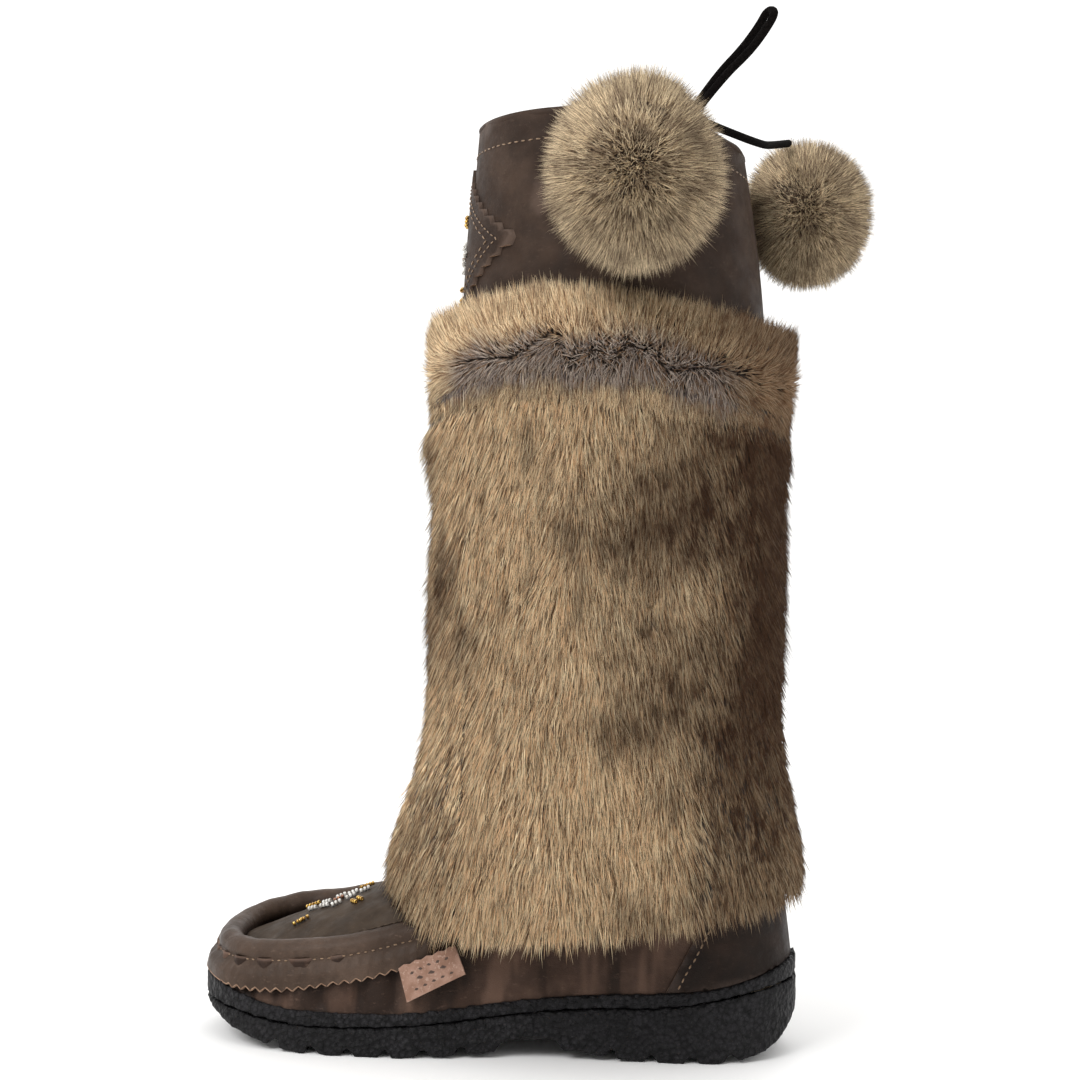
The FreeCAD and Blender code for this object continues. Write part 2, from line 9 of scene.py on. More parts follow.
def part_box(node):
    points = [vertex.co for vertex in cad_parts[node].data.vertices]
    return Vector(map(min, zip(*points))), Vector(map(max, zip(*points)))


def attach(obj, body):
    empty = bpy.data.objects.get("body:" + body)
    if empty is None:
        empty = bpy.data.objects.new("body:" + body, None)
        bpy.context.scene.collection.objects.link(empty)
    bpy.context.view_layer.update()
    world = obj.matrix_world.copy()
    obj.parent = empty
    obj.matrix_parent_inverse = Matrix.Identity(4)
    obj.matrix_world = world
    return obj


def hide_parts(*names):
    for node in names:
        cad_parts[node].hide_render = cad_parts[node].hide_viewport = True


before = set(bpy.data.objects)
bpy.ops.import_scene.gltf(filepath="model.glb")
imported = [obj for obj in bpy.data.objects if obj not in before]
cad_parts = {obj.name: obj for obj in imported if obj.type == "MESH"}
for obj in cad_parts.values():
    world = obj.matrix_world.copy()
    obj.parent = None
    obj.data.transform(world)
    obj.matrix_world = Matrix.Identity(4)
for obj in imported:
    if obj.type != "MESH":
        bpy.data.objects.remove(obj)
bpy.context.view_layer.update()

# ---------------------------------------------------------------------------
# Floor, light and camera.
# The boot stands by itself on a pale studio floor in soft, even light, and is
# looked at square from its outer side at mid height.
# ---------------------------------------------------------------------------


def put(tree, kind, inputs=None, **settings):
    made = tree.nodes.new(kind)
    for key, value in settings.items():
        setattr(made, key, value)
    for key, value in (inputs or {}).items():
        if isinstance(value, bpy.types.NodeSocket):
            tree.links.new(value, made.inputs[key])
        else:
            made.inputs[key].default_value = value
    return made


def start_finish(name, **sockets):
    finish = bpy.data.materials.new(name)
    finish.use_nodes = True
    tree = finish.node_tree
    shader = tree.nodes["Principled BSDF"]
    for key, value in sockets.items():
        shader.inputs[key.replace("_", " ")].default_value = value
    place = put(tree, "ShaderNodeTexCoord").outputs["Object"]
    return finish, tree, shader, place


def noise(tree, place, scale, detail=4.0, rough=0.55, stretch=None):
    if stretch is not None:
        place = put(tree, "ShaderNodeMapping", {"Vector": place, "Scale": stretch}).outputs["Vector"]
    settings = {"Vector": place, "Scale": scale, "Detail": detail, "Roughness": rough}
    return put(tree, "ShaderNodeTexNoise", settings).outputs["Fac"]


def ease(tree, value, low, high, start=0.0, end=1.0):
    settings = {"Value": value, "From Min": low, "From Max": high, "To Min": start, "To Max": end}
    return put(tree, "ShaderNodeMapRange", settings, interpolation_type='SMOOTHSTEP').outputs["Result"]


def sums(tree, kind, a, b):
    made = put(tree, "ShaderNodeMath", operation=kind)
    for socket, value in zip(made.inputs, (a, b)):
        if isinstance(value, bpy.types.NodeSocket):
            tree.links.new(value, socket)
        else:
            socket.default_value = value
    return made.outputs[0]


def dye(tree, share, first, second):
    made = put(tree, "ShaderNodeMix", data_type='RGBA')
    for slot, value in ((0, share), (6, first), (7, second)):
        if isinstance(value, bpy.types.NodeSocket):
            tree.links.new(value, made.inputs[slot])
        else:
            made.inputs[slot].default_value = value if slot == 0 else (*value, 1.0)
    return made.outputs[2]


FLOOR_TONE = (0.95, 0.948, 0.945)
bpy.ops.object.select_all(action='DESELECT')
bpy.ops.mesh.primitive_plane_add(size=9.0, location=(0, 0, 0))
floor = bpy.context.object
floor.name = "studio_floor"
floor_finish, tree, shader, place = start_finish("studio paper", Roughness=0.85)
tree.links.new(dye(tree, noise(tree, place, 3.0), FLOOR_TONE, [c * 1.02 for c in FLOOR_TONE]),
               shader.inputs["Base Color"])
floor.data.materials.append(floor_finish)

world = bpy.data.worlds.new("studio air")
world.use_nodes = True
world.node_tree.nodes["Background"].inputs["Color"].default_value = (1.0, 0.995, 0.985, 1)
tree = world.node_tree
ways = put(tree, "ShaderNodeSeparateXYZ", {"Vector": put(tree, "ShaderNodeTexCoord").outputs["Generated"]})
lit_from = sums(tree, 'ADD', ways.outputs["Y"], ways.outputs["Z"])
tree.links.new(ease(tree, lit_from, -0.6, 0.75, 0.50, 1.2), tree.nodes["Background"].inputs["Strength"])
bpy.context.scene.world = world
bpy.context.scene.view_settings.view_transform = 'Standard'
for name, spot, aim, wide, power in (
        ("window light", (-1.1, -1.5, 1.7), (0.0, 0.0, 0.22), 1.1, 34.0),
        ("fill light", (1.6, -1.1, 0.9), (0.0, 0.0, 0.2), 1.2, 3.0),
        ("back light", (0.4, 1.6, 1.4), (0.0, 0.0, 0.25), 1.2, 8.0)):
    lamp = bpy.data.lights.new(name, 'AREA')
    lamp.size = wide
    lamp.energy = power
    holder = bpy.data.objects.new(name, lamp)
    holder.location = spot
    holder.rotation_euler = (Vector(aim) - Vector(spot)).to_track_quat('-Z', 'Y').to_euler()
    bpy.context.collection.objects.link(holder)

EYE_FAR = 0.850
EYE_HIGH = 0.230
EYE_MID_X = 0.0134
EYE_TURN = math.radians(5.0)
EYE_ROLL = math.radians(1.2)
SEEN_WIDE = 0.5022
look = Vector((-math.sin(EYE_TURN), math.cos(EYE_TURN), 0))
right = Vector((math.cos(EYE_TURN), math.sin(EYE_TURN), 0))
up = Vector((0, 0, 1))
level = right
right = level * math.cos(EYE_ROLL) + up * math.sin(EYE_ROLL)
up = up * math.cos(EYE_ROLL) - level * math.sin(EYE_ROLL)
eye = bpy.data.cameras.new("eye")
SENSOR = 36.0
eye.sensor_width = SENSOR
eye.lens = SENSOR * EYE_FAR / SEEN_WIDE
eye_holder = bpy.data.objects.new("eye", eye)
turn = Matrix((right, up, -look)).transposed().to_4x4()
eye_holder.matrix_world = Matrix.Translation(Vector((EYE_MID_X, 0, EYE_HIGH)) - look * EYE_FAR) @ turn
bpy.context.collection.objects.link(eye_holder)
bpy.context.scene.camera = eye_holder

# ---------------------------------------------------------------------------
# Outsole: one moulding of black crepe rubber with cross lugs under ball and
# heel, cemented under the band. Its skin is pebbled like crumbled crepe.
# ---------------------------------------------------------------------------


def only(piece):
    bpy.ops.object.select_all(action='DESELECT')
    piece.select_set(True)
    bpy.context.view_layer.objects.active = piece


WELD = 0.00002


def from_cad(node, name):
    made = bpy.data.objects.new(name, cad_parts[node].data.copy())
    bpy.context.collection.objects.link(made)
    only(made)
    bpy.ops.object.mode_set(mode='EDIT')
    bpy.ops.mesh.select_all(action='SELECT')
    bpy.ops.mesh.remove_doubles(threshold=WELD)
    bpy.ops.object.mode_set(mode='OBJECT')
    return made


def apply_all(piece):
    only(piece)
    for fitted in list(piece.modifiers):
        bpy.ops.object.modifier_apply(modifier=fitted.name)


def remesh(piece, size, smooth=0):
    fitted = piece.modifiers.new("even mesh", 'REMESH')
    fitted.mode = 'VOXEL'
    fitted.voxel_size = size
    if smooth:
        rub = piece.modifiers.new("rub", 'SMOOTH')
        rub.iterations = smooth
        rub.factor = 0.5
    apply_all(piece)


def spots(piece):
    co = np.empty(len(piece.data.vertices) * 3)
    piece.data.vertices.foreach_get("co", co)
    return co.reshape(-1, 3)


def facing(piece):
    way = np.empty(len(piece.data.vertices) * 3, np.float32)
    piece.data.vertices.foreach_get("normal", way)
    return way.reshape(-1, 3).astype(float)


def move_to(piece, co):
    piece.data.vertices.foreach_set("co", co.ravel())
    piece.data.update()


def rolling(co, size, seed, octaves=3):
    # smooth random relief between about -1 and 1, size in metres
    draw = np.random.default_rng(seed)
    out = np.zeros(len(co))
    for step in range(octaves):
        part = np.zeros(len(co))
        for k in range(7):
            way = draw.normal(size=3)
            way /= np.linalg.norm(way)
            part += np.sin(2 * math.pi * (co @ way) / size * draw.uniform(0.7, 1.3) + draw.uniform(0, 6.28))
        out += part / 7 ** 0.5 / 1.8 ** step
        size /= 2.1
    return out / 1.6


def wear(piece, finish, slot_name, body, *nodes, angle=None):
    piece.data.materials.clear()
    piece.data.materials.append(finish)
    only(piece)
    if angle is None:
        bpy.ops.object.shade_smooth()
    else:
        bpy.ops.object.shade_smooth_by_angle(angle=math.radians(angle))
    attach(piece, body)
    if nodes:
        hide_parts(*nodes)


def cells(tree, place, scale, feature='F1'):
    settings = {"Vector": place, "Scale": scale}
    return put(tree, "ShaderNodeTexVoronoi", settings, feature=feature).outputs["Distance"]


def relief(tree, shader, height, distance, strength=1.0):
    under = shader.inputs["Normal"]
    settings = {"Height": height, "Distance": distance, "Strength": strength}
    if under.is_linked:
        settings["Normal"] = under.links[0].from_socket
    made = put(tree, "ShaderNodeBump", settings)
    tree.links.new(made.outputs["Normal"], under)


def crepe_rubber(name, tone, shift):
    finish, tree, shader, place = start_finish(name, Specular_IOR_Level=0.2)
    patch = ease(tree, noise(tree, place, 60.0 + shift, 5.0), 0.35, 0.7)
    pebble = cells(tree, place, 430.0)
    fine = cells(tree, place, 1150.0)
    dust = ease(tree, noise(tree, place, 900.0, 6.0, 0.7), 0.56, 0.72)
    body = dye(tree, patch, tone, [c * 1.9 + 0.002 for c in tone])
    body = dye(tree, ease(tree, pebble, 0.25, 0.75), body, [c * 0.45 for c in tone])
    tree.links.new(dye(tree, sums(tree, 'MULTIPLY', dust, 0.5), body, [c * 3.4 + 0.012 for c in tone]),
                   shader.inputs["Base Color"])
    tree.links.new(ease(tree, noise(tree, place, 240.0), 0.3, 0.75, 0.46, 0.78), shader.inputs["Roughness"])
    relief(tree, shader, fine, 0.0006, 0.7)
    relief(tree, shader, pebble, 0.0016, 0.9)
    return finish


SOLE_TONE = (0.0074, 0.0068, 0.0078)
outsole_finish = crepe_rubber("black crepe rubber", SOLE_TONE, 0.0)
outsole = from_cad("outsole", "lugged_outsole")
remesh(outsole, 0.0015, 4)
co = spots(outsole)
co += facing(outsole) * (0.00022 * rolling(co, 0.0075, 3, 3) - 0.0001)[:, None]
co[:, 2] = np.maximum(co[:, 2], 0.0)
move_to(outsole, co)
wear(outsole, outsole_finish, "outsole_rubber", "boot", "outsole")

# ---------------------------------------------------------------------------
# Raised band: the cup of the same crepe rubber that the leather sits in. It is
# bonded on the outsole, with a shallow groove left all round between the two.
# ---------------------------------------------------------------------------
BAND_PEBBLE = 0.00024
band_finish = crepe_rubber("band crepe rubber", [c * 1.12 for c in SOLE_TONE], 9.0)
band = from_cad("midsole", "raised_band")
remesh(band, 0.00105, 3)
co = spots(band)
co += facing(band) * (BAND_PEBBLE * rolling(co, 0.0065, 11, 3))[:, None]
move_to(band, co)
wear(band, band_finish, "band_rubber", "boot", "midsole")

# ---------------------------------------------------------------------------
# Side leather: one oiled hide wrapped up from under the foot, gathered into
# the seam round the toe, so that soft vertical puckers stand above the sole.
# ---------------------------------------------------------------------------


def surface_of(*nodes):
    points = []
    faces = []
    for node in nodes:
        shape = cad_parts[node].data
        start = len(points)
        points += [v.co.copy() for v in shape.vertices]
        faces += [[start + k for k in face.vertices] for face in shape.polygons]
    return BVHTree.FromPolygons(points, faces)


sole_low, sole_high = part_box("outsole")
END_ROUND = 0.046
toe_turn = sole_low.x + END_ROUND
heel_turn = sole_high.x - END_ROUND
side_run = heel_turn - toe_turn
quarter = math.pi * END_ROUND / 2
foot_round = 2 * side_run + 4 * quarter


def round_foot(t):
    # a point on the foot's middle line and the way out from it; t runs 0 to 1
    # from the toe tip past the outer side, the heel and the inner side
    s = (t % 1.0) * foot_round
    if s < quarter:
        a = s / END_ROUND
        return Vector((toe_turn, 0, 0)), Vector((-math.cos(a), -math.sin(a), 0))
    s -= quarter
    if s < side_run:
        return Vector((toe_turn + s, 0, 0)), Vector((0, -1, 0))
    s -= side_run
    if s < 2 * quarter:
        a = s / END_ROUND
        return Vector((heel_turn, 0, 0)), Vector((math.sin(a), -math.cos(a), 0))
    s -= 2 * quarter
    if s < side_run:
        return Vector((heel_turn - s, 0, 0)), Vector((0, 1, 0))
    a = (s - side_run) / END_ROUND
    return Vector((toe_turn, 0, 0)), Vector((-math.sin(a), math.cos(a), 0))


def foot_share(x, side):
    # the t of a place on the straight outer (-1) or inner (1) side
    if side < 0:
        return (quarter + x - toe_turn) / foot_round
    return (3 * quarter + side_run + heel_turn - x) / foot_round


def strike(surface, t, z):
    middle, out = round_foot(t)
    point, way, _, _ = surface.ray_cast(middle + out * 0.2 + Vector((0, 0, z)), -out)
    return point, way


roll_points = np.array([v.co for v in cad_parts["collar_roll"].data.vertices])
ROLL_STEPS = 64


def share_of(p):
    # the t at which a point of the foot lies
    if p[0] < toe_turn:
        a = math.atan2(-p[1], toe_turn - p[0])
        return (a * END_ROUND / foot_round) % 1.0
    if p[0] > heel_turn:
        a = math.atan2(p[0] - heel_turn, -p[1])
        return (quarter + side_run + a * END_ROUND) / foot_round
    return foot_share(p[0], -1 if p[1] < 0 else 1)


shares = np.array([share_of(p) for p in roll_points])
shares = np.where(shares > 0.5, shares - 1.0, shares)
ROLL_END = min(-shares.min(), shares.max()) - 0.004
roll_line = []
for i in range(ROLL_STEPS + 1):
    t = -ROLL_END + 2 * ROLL_END * i / ROLL_STEPS
    near = np.abs(shares - t) < 0.016
    ring = roll_points[near]
    slope = np.polyfit(shares[near] - t, ring, 1)
    middle, out = round_foot(t)
    radial = (ring - np.array(middle)) @ np.array(out)
    centre_out = (radial.min() + radial.max()) / 2
    centre_z = np.polyfit(shares[near] - t, ring[:, 2], 1)[1]
    roll_line.append(np.array(middle + out * centre_out) * (1, 1, 0) + np.array((0, 0, centre_z)))
roll_line = np.array(roll_line)
for _ in range(4):
    roll_line[1:-1] = (roll_line[:-2] + 2 * roll_line[1:-1] + roll_line[2:]) / 4


def roll_reach(t):
    # how far out from the foot's middle line the roll's own middle lies
    t = (t + 0.5) % 1.0 - 0.5
    place_on = (t + ROLL_END) / (2 * ROLL_END) * ROLL_STEPS
    spot = [float(np.interp(place_on, np.arange(ROLL_STEPS + 1), roll_line[:, k])) for k in range(2)]
    middle, out = round_foot(t)
    return (Vector((*spot, 0)) - middle).dot(out)


def roll_height(t):
    t = (t + 0.5) % 1.0 - 0.5
    place_on = (t + ROLL_END) / (2 * ROLL_END) * ROLL_STEPS
    return float(np.interp(place_on, np.arange(ROLL_STEPS + 1), roll_line[:, 2]))


def oiled_leather(name, dark, pale, shift=0.0, grain=1.0, shine=0.44, pucker_shade_and_highlight=0.0):
    finish, tree, shader, place = start_finish(name, Specular_IOR_Level=0.12, Coat_Weight=0.03,
                                               Coat_Roughness=0.3)
    cloud = ease(tree, noise(tree, place, 22.0 + shift, 4.0, 0.6), 0.32, 0.68)
    blotch = ease(tree, noise(tree, place, 95.0 + shift, 5.0, 0.62), 0.36, 0.66)
    tone = dye(tree, cloud, dark, pale)
    tone = dye(tree, sums(tree, 'MULTIPLY', blotch, 0.45), tone, [c * 0.62 for c in dark])
    if pucker_shade_and_highlight:
        # painted shade in the hollows and painted highlights on the ridges, in streaks that run up and down
        # between the puckers
        pucker_light_streak = noise(tree, place, 78.0, 2.0, 0.5, (1.0, 1.0, 0.16))
        tone = dye(tree, ease(tree, pucker_light_streak, 0.38, 0.5, pucker_shade_and_highlight, 0.0), tone, [c * 0.3 for c in dark])
        tone = dye(tree, ease(tree, pucker_light_streak, 0.54, 0.68, 0.0, pucker_shade_and_highlight), tone, [c * 1.5 for c in pale])
    rub = ease(tree, noise(tree, place, 300.0, 6.0, 0.7, (1.0, 1.0, 2.2)), 0.55, 0.74)
    tone = dye(tree, sums(tree, 'MULTIPLY', rub, 0.38), tone, [min(1.0, c * 1.75 + 0.012) for c in pale])
    edge = ease(tree, put(tree, "ShaderNodeNewGeometry").outputs["Pointiness"], 0.52, 0.6)
    tone = dye(tree, sums(tree, 'MULTIPLY', edge, 0.5), tone, [min(1.0, c * 2.0 + 0.02) for c in pale])
    # painted shade: the leather's colour is darkened towards near-black wherever ambient occlusion finds
    # crevices and recesses
    crevice_shade_ao = put(tree, "ShaderNodeAmbientOcclusion", {"Distance": 0.016}, samples=6).outputs["AO"]
    tone = dye(tree, ease(tree, crevice_shade_ao, 0.2, 0.85, 0.8, 0.0), tone, [c * 0.15 for c in dark])
    tree.links.new(tone, shader.inputs["Base Color"])
    tree.links.new(ease(tree, noise(tree, place, 130.0, 4.0), 0.3, 0.7, shine, shine + 0.2),
                   shader.inputs["Roughness"])
    pores = cells(tree, place, 1300.0, 'DISTANCE_TO_EDGE')
    relief(tree, shader, noise(tree, place, 2600.0, 3.0), 0.00018 * grain, 0.6)
    relief(tree, shader, pores, 0.0003 * grain, 0.7)
    relief(tree, shader, noise(tree, place, 190.0, 5.0, 0.6), 0.0011 * grain, 0.5)
    return finish


SIDE_DARK = (0.036, 0.0195, 0.0130)
SIDE_PALE = (0.086, 0.051, 0.036)
# the side leather gets painted shade and painted highlight streaks between its puckers
side_finish = oiled_leather("oiled side leather", SIDE_DARK, SIDE_PALE, pucker_shade_and_highlight=0.7)
SIDE_COLUMNS = 620
SIDE_ROWS = 16
SIDE_THICK = 0.0016
side_skin = surface_of("moccasin_bottom")
band_skin = surface_of("midsole")


def rim_height(t):
    # the top of the band beside the foot, found by feeling down its wall
    z = 0.060
    while z > 0.012:
        if strike(band_skin, t, z)[0] is not None:
            middle, out = round_foot(t)
            hit, _ = strike(band_skin, t, z)
            if (hit - middle).dot(out) > 0.02:
                return z
        z -= 0.0006
    return 0.02


rims = [rim_height(i / 200) for i in range(200)]
for _ in range(3):
    rims = [(rims[i - 1] + 2 * rims[i] + rims[(i + 1) % 200]) / 4 for i in range(200)]


def rim_at(t):
    s = (t % 1.0) * 200
    k = int(s)
    return rims[k % 200] * (1 - s + k) + rims[(k + 1) % 200] * (s - k)


WALL_LEAN = 0.12
WALL_STEPS = 480
walls = []
for i in range(WALL_STEPS):
    t = i / WALL_STEPS
    z = rim_at(t) + 0.003
    point, way = strike(side_skin, t, z)
    while point is None:
        z -= 0.001
        point, way = strike(side_skin, t, z)
    walls.append((*point, (point - round_foot(t)[0]).dot(round_foot(t)[1])))
walls = np.array(walls)


def wall_at(t, z, lift=0.0):
    # a point on the outside of the foot's wall, lift metres proud of it
    s = (t % 1.0) * WALL_STEPS
    k = int(s)
    near = walls[k % WALL_STEPS] * (1 - s + k) + walls[(k + 1) % WALL_STEPS] * (s - k)
    middle, out = round_foot(t)
    spot = middle + out * (near[3] + lift - WALL_LEAN * (z - near[2]))
    spot.z = z
    return spot


def ease_in(value, low, high):
    u = min(1.0, max(0.0, (value - low) / (high - low)))
    return u * u * (3 - 2 * u)


def sheet_round(name, columns, rows, place_at, closed=False):
    bpy.ops.object.select_all(action='DESELECT')
    bpy.ops.mesh.primitive_grid_add(x_subdivisions=columns, y_subdivisions=rows, size=1.0)
    made = bpy.context.object
    made.name = name
    made.data.name = name
    flat = spots(made)
    co = np.array([place_at(p[0] + 0.5, p[1] + 0.5) for p in flat])
    move_to(made, co)
    if closed:
        bpy.ops.object.mode_set(mode='EDIT')
        bpy.ops.mesh.select_all(action='SELECT')
        bpy.ops.mesh.remove_doubles(threshold=0.00001)
        bpy.ops.object.mode_set(mode='OBJECT')
    return made


def thicken(piece, thick, side=-1.0):
    # outward normals first, so that the wall is laid on the inner face
    only(piece)
    away = spots(piece) * (1.0, 1.0, 0.2)
    if (facing(piece) * away).sum() < 0:
        bpy.ops.object.mode_set(mode='EDIT')
        bpy.ops.mesh.select_all(action='SELECT')
        bpy.ops.mesh.flip_normals()
        bpy.ops.object.mode_set(mode='OBJECT')
    wall = piece.modifiers.new("wall", 'SOLIDIFY')
    wall.thickness = thick
    wall.offset = side
    wall.use_even_offset = False
    apply_all(piece)


PUCKER_PITCH = 0.0145
PUCKER_REACH = 0.165
front_end = foot_share(-0.005, -1)
dice = random.Random(17)
puckers = []
along = -PUCKER_REACH
while along < PUCKER_REACH:
    half = dice.uniform(0.0030, 0.0052)
    deep = dice.uniform(0.0016, 0.0038)
    puckers.append((along, half, deep, dice.uniform(0.35, 0.75)))
    along += PUCKER_PITCH * dice.uniform(0.6, 1.4)


def side_place(u, v):
    t = u
    behind = ease_in(min(t, 1 - t), front_end * 0.80, front_end * 1.05)
    top = roll_height(t) - 0.0015 + behind * 0.020
    low = rim_at(t) - 0.004
    z = low + (top - low) * v
    s = ((t + 0.5) % 1.0 - 0.5) * foot_round
    depth = 0.0
    for spot, half, deep, fall in puckers:
        if abs(s - spot) < 3 * half:
            depth += deep * math.exp(-((s - spot - 0.002 * (1 - v)) / half) ** 2) * ease_in(v, 0.05, fall)
    ripple = 0.00025 * math.sin(s * 410.0 + 3.0 * math.sin(s * 57.0)) * v
    return wall_at(t, z, 0.0005 - (depth + ripple) * (1 - behind))


side_leather = sheet_round("side_leather", SIDE_COLUMNS, SIDE_ROWS, side_place, True)
thicken(side_leather, SIDE_THICK, -1.0)
wear(side_leather, side_finish, "upper_leather", "boot", "moccasin_bottom")

# ---------------------------------------------------------------------------
# Plug: the apron of the moccasin, a flat hide let into the seam and sunk
# behind the roll, with faint puckers at its edge. The instep panel goes on
# from it, up under the fur.
# ---------------------------------------------------------------------------
PLUG_DARK = (0.032, 0.0205, 0.0130)
PLUG_PALE = (0.060, 0.041, 0.027)
plug_finish = oiled_leather("waxed plug leather", PLUG_DARK, PLUG_PALE, 7.0, 0.45, 0.5)
plug = from_cad("plug", "plug_apron")
remesh(plug, 0.0011, 4)
co = spots(plug)
co += facing(plug) * (0.00022 * rolling(co, 0.02, 5, 3))[:, None]
move_to(plug, co)
wear(plug, plug_finish, "upper_leather", "boot", "plug")
instep = from_cad("instep_panel", "instep_panel_leather")
remesh(instep, 0.0011, 3)
wear(instep, plug_finish, "upper_leather", "boot", "instep_panel")

# ---------------------------------------------------------------------------
# Collar roll: the two leathers' edges rolled round a felt cord and sewn down,
# a fat glossy bead along the whole seam, a little uneven where it was pulled.
# ---------------------------------------------------------------------------
ROLL_FAT = 0.0060
ROLL_DARK = (0.040, 0.0245, 0.0165)
ROLL_PALE = (0.092, 0.060, 0.043)
roll_finish = oiled_leather("oiled roll leather", ROLL_DARK, ROLL_PALE, 3.0, 1.0, 0.34)


def bent_tube(name, route, fat, order, steps, round_steps, ring=False):
    # a round tube on one smooth curve, open with capped ends or closed in a ring
    line = bpy.data.curves.new(name, 'CURVE')
    line.dimensions = '3D'
    strand = line.splines.new('NURBS')
    strand.points.add(len(route) - 1)
    for knot_point, spot in zip(strand.points, route):
        knot_point.co = (*spot, 1.0)
    strand.order_u = order
    strand.use_endpoint_u = not ring
    strand.use_cyclic_u = ring
    line.resolution_u = steps
    line.bevel_depth = fat
    line.bevel_resolution = round_steps
    line.use_fill_caps = not ring
    made = bpy.data.objects.new(name, line)
    bpy.context.collection.objects.link(made)
    return made


roll = bent_tube("collar_roll_leather", roll_line, ROLL_FAT, 4, 7, 6)
only(roll)
bpy.ops.object.convert(target='MESH')
bpy.ops.object.mode_set(mode='EDIT')
bpy.ops.mesh.select_all(action='SELECT')
bpy.ops.mesh.remove_doubles(threshold=0.00001)
bpy.ops.mesh.normals_make_consistent(inside=False)
bpy.ops.object.mode_set(mode='OBJECT')
co = spots(roll)
along = np.array([share_of(p) for p in co]) * foot_round
crease = np.sin(along * 2 * math.pi / 0.0061 + 2.2 * np.sin(along * 90)) * 0.00003
crease += np.sin(along * 2 * math.pi / 0.0190 + 1.7 * np.sin(along * 41)) * 0.00008
co += facing(roll) * (crease + 0.00022 * rolling(co, 0.022, 21, 2))[:, None]
move_to(roll, co)
wear(roll, roll_finish, "roll_leather", "boot", "collar_roll")

# ---------------------------------------------------------------------------
# Pinked skirt: the side leather's spare edge left hanging outside the seam.
# It is cut with pinking shears, so its lower edge is a row of pale raw teeth.
# ---------------------------------------------------------------------------
TOOTH = 0.0052
TOOTH_DEEP = 0.0019
SKIRT_DROP = 0.0011
SKIRT_THICK = 0.0014
SKIRT_SPAN = foot_share(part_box("pinked_skirt")[1].x, -1)
skirt_teeth = int(2 * SKIRT_SPAN * foot_round / TOOTH)
SKIRT_COLUMNS = skirt_teeth * 8
skirt_points = np.array([v.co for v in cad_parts["pinked_skirt"].data.vertices])
skirt_shares = np.array([(share_of(p) + 0.5) % 1.0 - 0.5 for p in skirt_points])
skirt_ts = np.linspace(-SKIRT_SPAN, SKIRT_SPAN, 41)
skirt_lows = np.array([skirt_points[np.abs(skirt_shares - t) < 0.018][:, 2].min() for t in skirt_ts])
skirt_lows[1:-1] = (skirt_lows[:-2] + skirt_lows[1:-1] + skirt_lows[2:]) / 3
raw_finish, tree, shader, place = start_finish("raw cut edge", Roughness=0.85)
tree.links.new(dye(tree, ease(tree, noise(tree, place, 420.0, 5.0), 0.3, 0.7), (0.17, 0.095, 0.056),
                   (0.34, 0.215, 0.14)), shader.inputs["Base Color"])
relief(tree, shader, noise(tree, place, 1500.0, 4.0), 0.0004, 0.9)


def tooth_wave(s):
    return abs((s / TOOTH) % 1.0 - 0.5) * 2


def skirt_place(u, v):
    t = -SKIRT_SPAN + 2 * SKIRT_SPAN * u
    s = t * foot_round
    top = roll_height(t) - SKIRT_DROP
    low = float(np.interp(t, skirt_ts, skirt_lows)) + TOOTH_DEEP * tooth_wave(s)
    low = max(low, rim_at(t) + 0.0006)
    v = 1 - (1 - v) ** 1.3
    z = top + (low - top) * v
    tucked = 0.0010 * (1 - ease_in(v, 0.0, 0.16)) + 0.0004 * math.sin(math.pi * min(1.0, v / 0.5))
    wave = 0.0003 * math.sin(s * 150.0 + 2 * math.sin(s * 53)) * v
    spot = wall_at(t, z, 0.0015 - tucked + 0.0005 * v ** 2 + wave)
    middle, out = round_foot(t)
    shoulder = roll_reach(t) + ROLL_FAT * 0.80 - (spot - middle).dot(out)
    return spot + out * min(0.0, shoulder) * (1 - ease_in(v, 0.0, 0.62))


skirt = sheet_round("pinked_skirt_edge", SKIRT_COLUMNS, 12, skirt_place)
thicken(skirt, SKIRT_THICK, 0.0)


def edge_dyed(piece, is_edge, other):
    # the cut edge of a hide shows its raw core
    piece.data.materials.append(other)
    for face in piece.data.polygons:
        if is_edge(face):
            face.material_index = 1


wear(skirt, roll_finish, "roll_leather", "boot", "pinked_skirt")


def skirt_edge(face):
    t = (share_of(face.center) + 0.5) % 1.0 - 0.5
    low = float(np.interp(t, skirt_ts, skirt_lows)) + TOOTH_DEEP * tooth_wave(t * foot_round)
    return face.center.z < max(low, rim_at(t) + 0.0006) + 0.0005


edge_dyed(skirt, skirt_edge, raw_finish)

# ---------------------------------------------------------------------------
# Seam stitches of the foot: thick waxed thread, pulled down a little between
# its holes, in one row along the foot of the roll.
# ---------------------------------------------------------------------------
thread_finish, tree, shader, place = start_finish("waxed tan thread", Roughness=0.6, Sheen_Weight=0.2)
tree.links.new(dye(tree, ease(tree, noise(tree, place, 700.0, 4.0), 0.3, 0.7), (0.14, 0.080, 0.040),
                   (0.29, 0.185, 0.105)), shader.inputs["Base Color"])
relief(tree, shader, noise(tree, place, 2200.0, 2.0), 0.0002, 1.0)


def blank(name, segments=8, rings=6):
    # one bead or stitch to copy, made once
    bpy.ops.object.select_all(action='DESELECT')
    bpy.ops.mesh.primitive_uv_sphere_add(segments=segments, ring_count=rings, radius=1.0)
    made = bpy.context.object
    made.name = name
    return made


def scatter(name, master, places):
    # many copies of one small shape joined in one piece
    co = spots(master)
    faces = [list(face.vertices) for face in master.data.polygons]
    points = []
    joined = []
    for number, spot in enumerate(places):
        turned = np.c_[co, np.ones(len(co))] @ np.array(spot).T
        points.append(turned[:, :3])
        joined += [[k + number * len(co) for k in face] for face in faces]
    shape = bpy.data.meshes.new(name)
    shape.from_pydata(np.concatenate(points).tolist(), [], joined)
    shape.validate()
    made = bpy.data.objects.new(name, shape)
    bpy.context.collection.objects.link(made)
    return made


